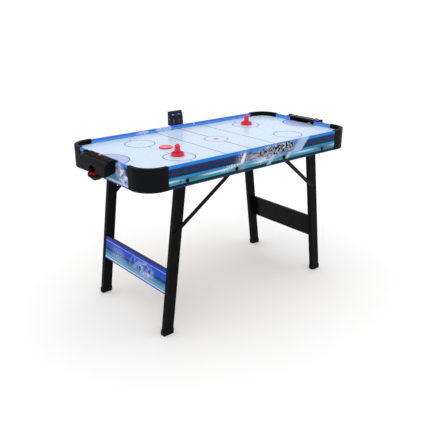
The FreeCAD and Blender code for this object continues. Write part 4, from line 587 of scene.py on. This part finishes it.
def powder_coat(name):
    """Black powder coat with orange peel."""
    m = Finish(name, specular=0.06)
    m.paint(m.tinted(rgb(10, 10, 12), m.noise(30, 4, 0.6), 0.8, 1.25))
    m.rough(m.noise(60, 3, 0.6), 0.38, 0.52)
    m.bump(m.noise(900, 2, 0.5), 0.00012, 0.5)
    return m.material


def metal(name, base, roughness):
    """Plated steel: fine brushed lines and a mottled plating."""
    m = Finish(name, metallic=1.0)
    brushed = m.noise(500, 3, 0.6, m.stretched(0.08, 1, 1))
    m.paint(m.tinted(m.tinted(base, m.noise(180, 3, 0.6), 0.82, 1.1), brushed, 0.9, 1.06))
    m.rough(brushed, roughness - 0.08, roughness + 0.1)
    m.bump(brushed, 0.00005, 0.4)
    return m.material


def red_gloss(name):
    """Glossy red moulding with a few fine scratches."""
    m = Finish(name, specular=0.35, coat=0.25, coat_roughness=0.08)
    body = m.tinted(rgb(226, 26, 58), m.noise(40, 3, 0.5), 0.92, 1.06)
    scratch = m.span(m.noise(420, 2, 0.6, m.stretched(0.2, 1, 0.5), 2.0), 0.66, 0.76)
    m.paint(m.over(body, scratch, 0.15, rgb(246, 112, 128)))
    m.rough(m.noise(70, 3, 0.6), 0.16, 0.30)
    m.bump(m.noise(30, 2, 0.5), 0.0002, 0.15)
    return m.material


def circuit_board(name):
    """Green board with raised tracks and tinned pads."""
    m = Finish(name, roughness=0.35, specular=0.4)
    tracks = m.all_of(m.span(m.math("FRACT", m.math("MULTIPLY", m.x, 320.0)), 0.30, 0.36),
                      m.span(m.noise(90, 1, 0.5), 0.42, 0.48))
    pads = m.span(m.cells(360), 0.24, 0.18)
    colour = m.mix(tracks, rgb(14, 74, 42), rgb(36, 118, 66))
    m.paint(m.mix(pads, colour, rgb(186, 176, 150)))
    m.rough(m.noise(60), 0.28, 0.42)
    m.bump(tracks, 0.0001, 0.6)
    return m.material


def lit(name, base, glow, strength):
    """Coloured plastic lit from behind."""
    m = Finish(name)
    grain = m.noise(500, 2, 0.5)
    m.paint(m.tinted(base, grain, 0.9, 1.1))
    m.put(m.shader.inputs["Emission Color"], m.tinted(glow, grain, 0.9, 1.1))
    m.shader.inputs["Emission Strength"].default_value = strength
    m.rough(grain, 0.2, 0.35)
    m.bump(grain, 0.00004, 0.3)
    return m.material


def score_case(name):
    """Satin case with two printed columns and pad-printed marks over and under each display."""
    m = Finish(name, specular=0.10)
    grain = 900
    ax = m.math("ABSOLUTE", m.x)
    facing = m.span(m.split(m.normal)[1], -0.5, -0.7)
    column, inside = [
        m.all_of(facing, m.oblong(ax, m.z, (COLUMN_X, COLUMN_MIDDLE),
                                  (COLUMN_HALF_WIDTH - border, COLUMN_HALF_HEIGHT - border),
                                  (0.0006, 0.0006)))
        for border in (0, COLUMN_BORDER)]
    colour = m.over(mottled(m, rgb(28, 36, 54), grain), column, 0.55, rgb(58, 72, 98))
    colour = m.mix(inside, colour, m.tinted(rgb(19, 25, 39), m.noise(40, 3, 0.6), 0.85, 1.2))

    worn = m.span(m.noise(900, 2, 0.6), 0.34, 0.46)
    marks = m.near(m.math("FRACT", m.math("MULTIPLY", ax, MARKS_PER_METRE)), 0.5, 0.38, 0.06)
    label = m.oblong(ax, m.z, (COLUMN_X, LABEL_MIDDLE), LABEL_HALVES, (0.0006, 0.0005))
    colour = m.mix(m.all_of(label, inside, worn, marks), colour, rgb(120, 150, 192))
    caption = m.oblong(ax, m.z, (COLUMN_X, CAPTION_MIDDLE), CAPTION_HALVES, (0.0005, 0.0004))
    m.paint(m.over(colour, m.all_of(caption, inside, worn, marks), 0.8, rgb(116, 138, 172)))
    m.rough(m.noise(38, 4, 0.62), 0.28, 0.44)
    spark_grain(m, grain, 0.00005)
    return m.material


def score_channel(name):
    """Moulded channel with one pale tick for each goal along the side of its ridge that faces the field."""
    m = Finish(name, specular=0.06)
    grain = 1400
    y = m.math("SUBTRACT", m.y, CENTRE_Y)
    facing = m.span(m.math("MULTIPLY", m.split(m.normal)[0], m.math("SIGN", m.x)), -0.15, -0.35)
    ticks = m.near(m.math("FRACT", m.math("DIVIDE", y, RAIL_TICK_PITCH)), 0.5, 0.30, 0.05)
    high = m.span(m.z, RAIL_TICK_FOOT - 0.0002, RAIL_TICK_FOOT + 0.0002)
    between_ends = m.near(y, 0, RAIL_TICK_REACH, 0.001)
    worn = m.span(m.noise(900, 2, 0.6), 0.30, 0.44)
    ticks = m.all_of(ticks, high, between_ends, facing, worn)
    m.paint(m.over(mottled(m, rgb(11, 12, 15), grain), ticks, 0.9, rgb(214, 222, 232)))
    moulded_surface(m, 0.52, grain, 0.00010)
    return m.material


FINISHES = {
    "playfield": playfield(),
    "bottom_hardboard": hardboard("bottom_hardboard"),
    "pine": bare_wood("pine_bare", rgb(206, 168, 116), (0.06, 1, 1)),
    "black_moulding": moulded("black_moulding", rgb(11, 12, 15), 0.52, 0.06),
    "black_case": score_case("black_case"),
    "red_display": lit("red_display_glass", rgb(60, 6, 10), rgb(120, 8, 14), 0.12),
    "circuit": circuit_board("circuit_board"),
    "green_button": lit("green_button_plastic", rgb(24, 160, 104), rgb(20, 150, 90), 0.15),
    "red_plastic": red_gloss("red_gloss"),
    "black_wood": foil_wood("black_foil_wood"),
    "black_steel": powder_coat("black_powder_coat"),
    "zinc_steel": metal("zinc_plate", rgb(176, 176, 172), 0.36),
    "black_fan": moulded("black_fan", rgb(12, 12, 14), 0.55, 0.06),
    "motor_can": metal("motor_can", rgb(150, 152, 156), 0.30),
    "wire_sheath": moulded("wire_sheath", rgb(24, 24, 26), 0.6, 0.3, 2200, 0.00006),
    "printed_panel": leg_panel("leg_panel_print"),
}
LONG_PRINT, END_PRINT = printed_apron("apron_print_long", "x"), printed_apron("apron_print_end", "y")
CHANNEL = score_channel("score_channel")
OWN_FINISHES = {
    "front_apron": LONG_PRINT, "rear_apron": LONG_PRINT,
    "left_end_apron": END_PRINT, "right_end_apron": END_PRINT,
    "left_score_rail": CHANNEL, "right_score_rail": CHANNEL}


def dress(thing, material):
    thing.data.materials.clear()
    thing.data.materials.append(material)


for part in frame["record"]["subparts"]:
    name, slot_name = part["node"], part["material_slot"]
    dress(nodes[name], OWN_FINISHES[name] if name in OWN_FINISHES else FINISHES[slot_name])


# ---- Pieces that are made here ----
def new_piece(name, mesh_maker, material, body):
    mesh = bpy.data.meshes.new(name)
    shape = bmesh.new()
    mesh_maker(shape)
    bmesh.ops.recalc_face_normals(shape, faces=shape.faces)
    shape.to_mesh(mesh)
    shape.free()
    thing = bpy.data.objects.new(name, mesh)
    bpy.context.scene.collection.objects.link(thing)
    mesh.materials.append(material)
    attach(thing, body)
    return thing


def prism(shape, outline, y_front, y_back):
    """Flat outline in (x, z), made solid along Y."""
    near = [shape.verts.new((x, y_front, z)) for x, z in outline]
    far = [shape.verts.new((x, y_back, z)) for x, z in outline]
    shape.faces.new(near)
    shape.faces.new(list(reversed(far)))
    for i in range(len(outline)):
        j = (i + 1) % len(outline)
        shape.faces.new((near[j], near[i], far[i], far[j]))


# The bars of a seven-segment figure: middle, in half widths and half heights, and whether it lies flat
BARS = {"a": (0, 1, True), "g": (0, 0, True), "d": (0, -1, True),
        "f": (-1, 0.5, False), "b": (1, 0.5, False), "e": (-1, -0.5, False), "c": (1, -0.5, False)}
SEGMENTS = {"2": "abged", "3": "abgcd"}


def digit(number, middle_x, middle_z):
    """Slanted seven-segment figure of bars with pointed ends."""
    half_width, half_height = DIGIT_WIDTH / 2, DIGIT_HEIGHT / 2
    half_stroke = DIGIT_STROKE / 2

    def make(shape):
        for key in SEGMENTS[number]:
            across, up, flat = BARS[key]
            reach = (half_width if flat else half_height / 2) - DIGIT_STROKE * 0.35
            neck = reach - half_stroke
            points = [(-reach, 0), (-neck, half_stroke), (neck, half_stroke),
                      (reach, 0), (neck, -half_stroke), (-neck, -half_stroke)]
            if not flat:
                points = [(b, a) for a, b in points]
            outline = []
            for x, z in points:
                height = up * half_height + z
                outline.append((middle_x + across * half_width + x + height * DIGIT_SLANT, middle_z + height))
            prism(shape, outline, display_low.y - DIGIT_PROUD, display_low.y + DIGIT_SUNK)
    return make


digit_glow = lit("digit_glow", rgb(150, 28, 32), rgb(220, 30, 30), 0.25)
display_middle_z = (display_low.z + display_high.z) / 2
for side, number in ((-1, "3"), (1, "2")):
    new_piece("score_digit_" + ("left" if side < 0 else "right"),
              digit(number, side * COLUMN_X, display_middle_z), digit_glow, "table")


def screw_head(middle_x, middle_z, face):
    """Low domed head with a cross recess, looking along -Y."""
    def ring(shape, share, heights):
        return [shape.verts.new((
            middle_x + SCREW_RADIUS * share * math.cos(math.tau * i / SCREW_STEPS),
            face - SCREW_PROUD * height,
            middle_z + SCREW_RADIUS * share * math.sin(math.tau * i / SCREW_STEPS)))
            for i, height in enumerate(heights)]

    def make(shape):
        rings = [ring(shape, share, [height] * SCREW_STEPS) for share, height in SCREW_DOME]
        # the innermost ring sinks along two crossed arms
        sunk = [abs(math.sin(2 * math.tau * i / SCREW_STEPS)) < 0.5 for i in range(SCREW_STEPS)]
        rings.append(ring(shape, RECESS_SHARE, [RECESS_HEIGHT if low else 1.0 for low in sunk]))
        for outer, inner in zip(rings, rings[1:]):
            for i in range(SCREW_STEPS):
                j = (i + 1) % SCREW_STEPS
                shape.faces.new((outer[i], outer[j], inner[j], inner[i]))
        shape.faces.new(rings[-1])
        shape.faces.new(list(reversed(rings[0])))
    return make


for side in (-1, 1):
    new_piece("apron_screw_" + ("left" if side < 0 else "right"),
              screw_head(side * SCREW_X, SCREW_Z, front_low.y), FINISHES["black_steel"],
              "table")


# ---- Floor, light and camera ----
def floor_sheet():
    mesh = bpy.data.meshes.new("studio_floor")
    shape = bmesh.new()
    bmesh.ops.create_grid(shape, x_segments=FLOOR_CELLS, y_segments=FLOOR_CELLS, size=FLOOR_HALF)
    shape.to_mesh(mesh)
    shape.free()
    thing = bpy.data.objects.new("studio_floor", mesh)
    bpy.context.scene.collection.objects.link(thing)
    m = Finish("studio_floor_paint", roughness=0.9, specular=0.1)
    m.paint(m.tinted(rgb(251, 251, 251), m.noise(1.2, 3, 0.5), 0.99, 1.01))
    m.rough(m.noise(6, 3, 0.5), 0.85, 0.95)
    mesh.materials.append(m.material)


def softbox(name, place, target, size, watts):
    light = bpy.data.lights.new(name, "AREA")
    light.shape = "RECTANGLE"
    light.size, light.size_y = size
    light.energy = watts
    thing = bpy.data.objects.new(name, light)
    bpy.context.scene.collection.objects.link(thing)
    thing.location = place
    thing.rotation_euler = (Vector(target) - Vector(place)).to_track_quat("-Z", "Y").to_euler()


floor_sheet()
softbox("key_light", (-1.6, -2.6, 3.0), (0, 0, 0.5), (2.6, 2.6), 6)
softbox("top_light", (0.4, 0.6, 3.4), (0, 0, 0.7), (3.2, 2.4), 4)

world = bpy.data.worlds.new("studio")
world.use_nodes = True
background = world.node_tree.nodes["Background"]
background.inputs[0].default_value = (1.0, 1.0, 1.0, 1.0)
background.inputs[1].default_value = WORLD_STRENGTH
bpy.context.scene.world = world

camera = bpy.data.cameras.new("photo_camera")
camera.lens = CAMERA_LENS
camera.sensor_width = CAMERA_SENSOR
camera.clip_end = CAMERA_REACH
viewer = bpy.data.objects.new("photo_camera", camera)
bpy.context.scene.collection.objects.link(viewer)
viewer.location = CAMERA_PLACE
viewer.rotation_euler = (math.radians(CAMERA_PITCH), 0, math.radians(CAMERA_HEADING))
bpy.context.scene.camera = viewer
bpy.context.scene.view_settings.view_transform = "Standard"
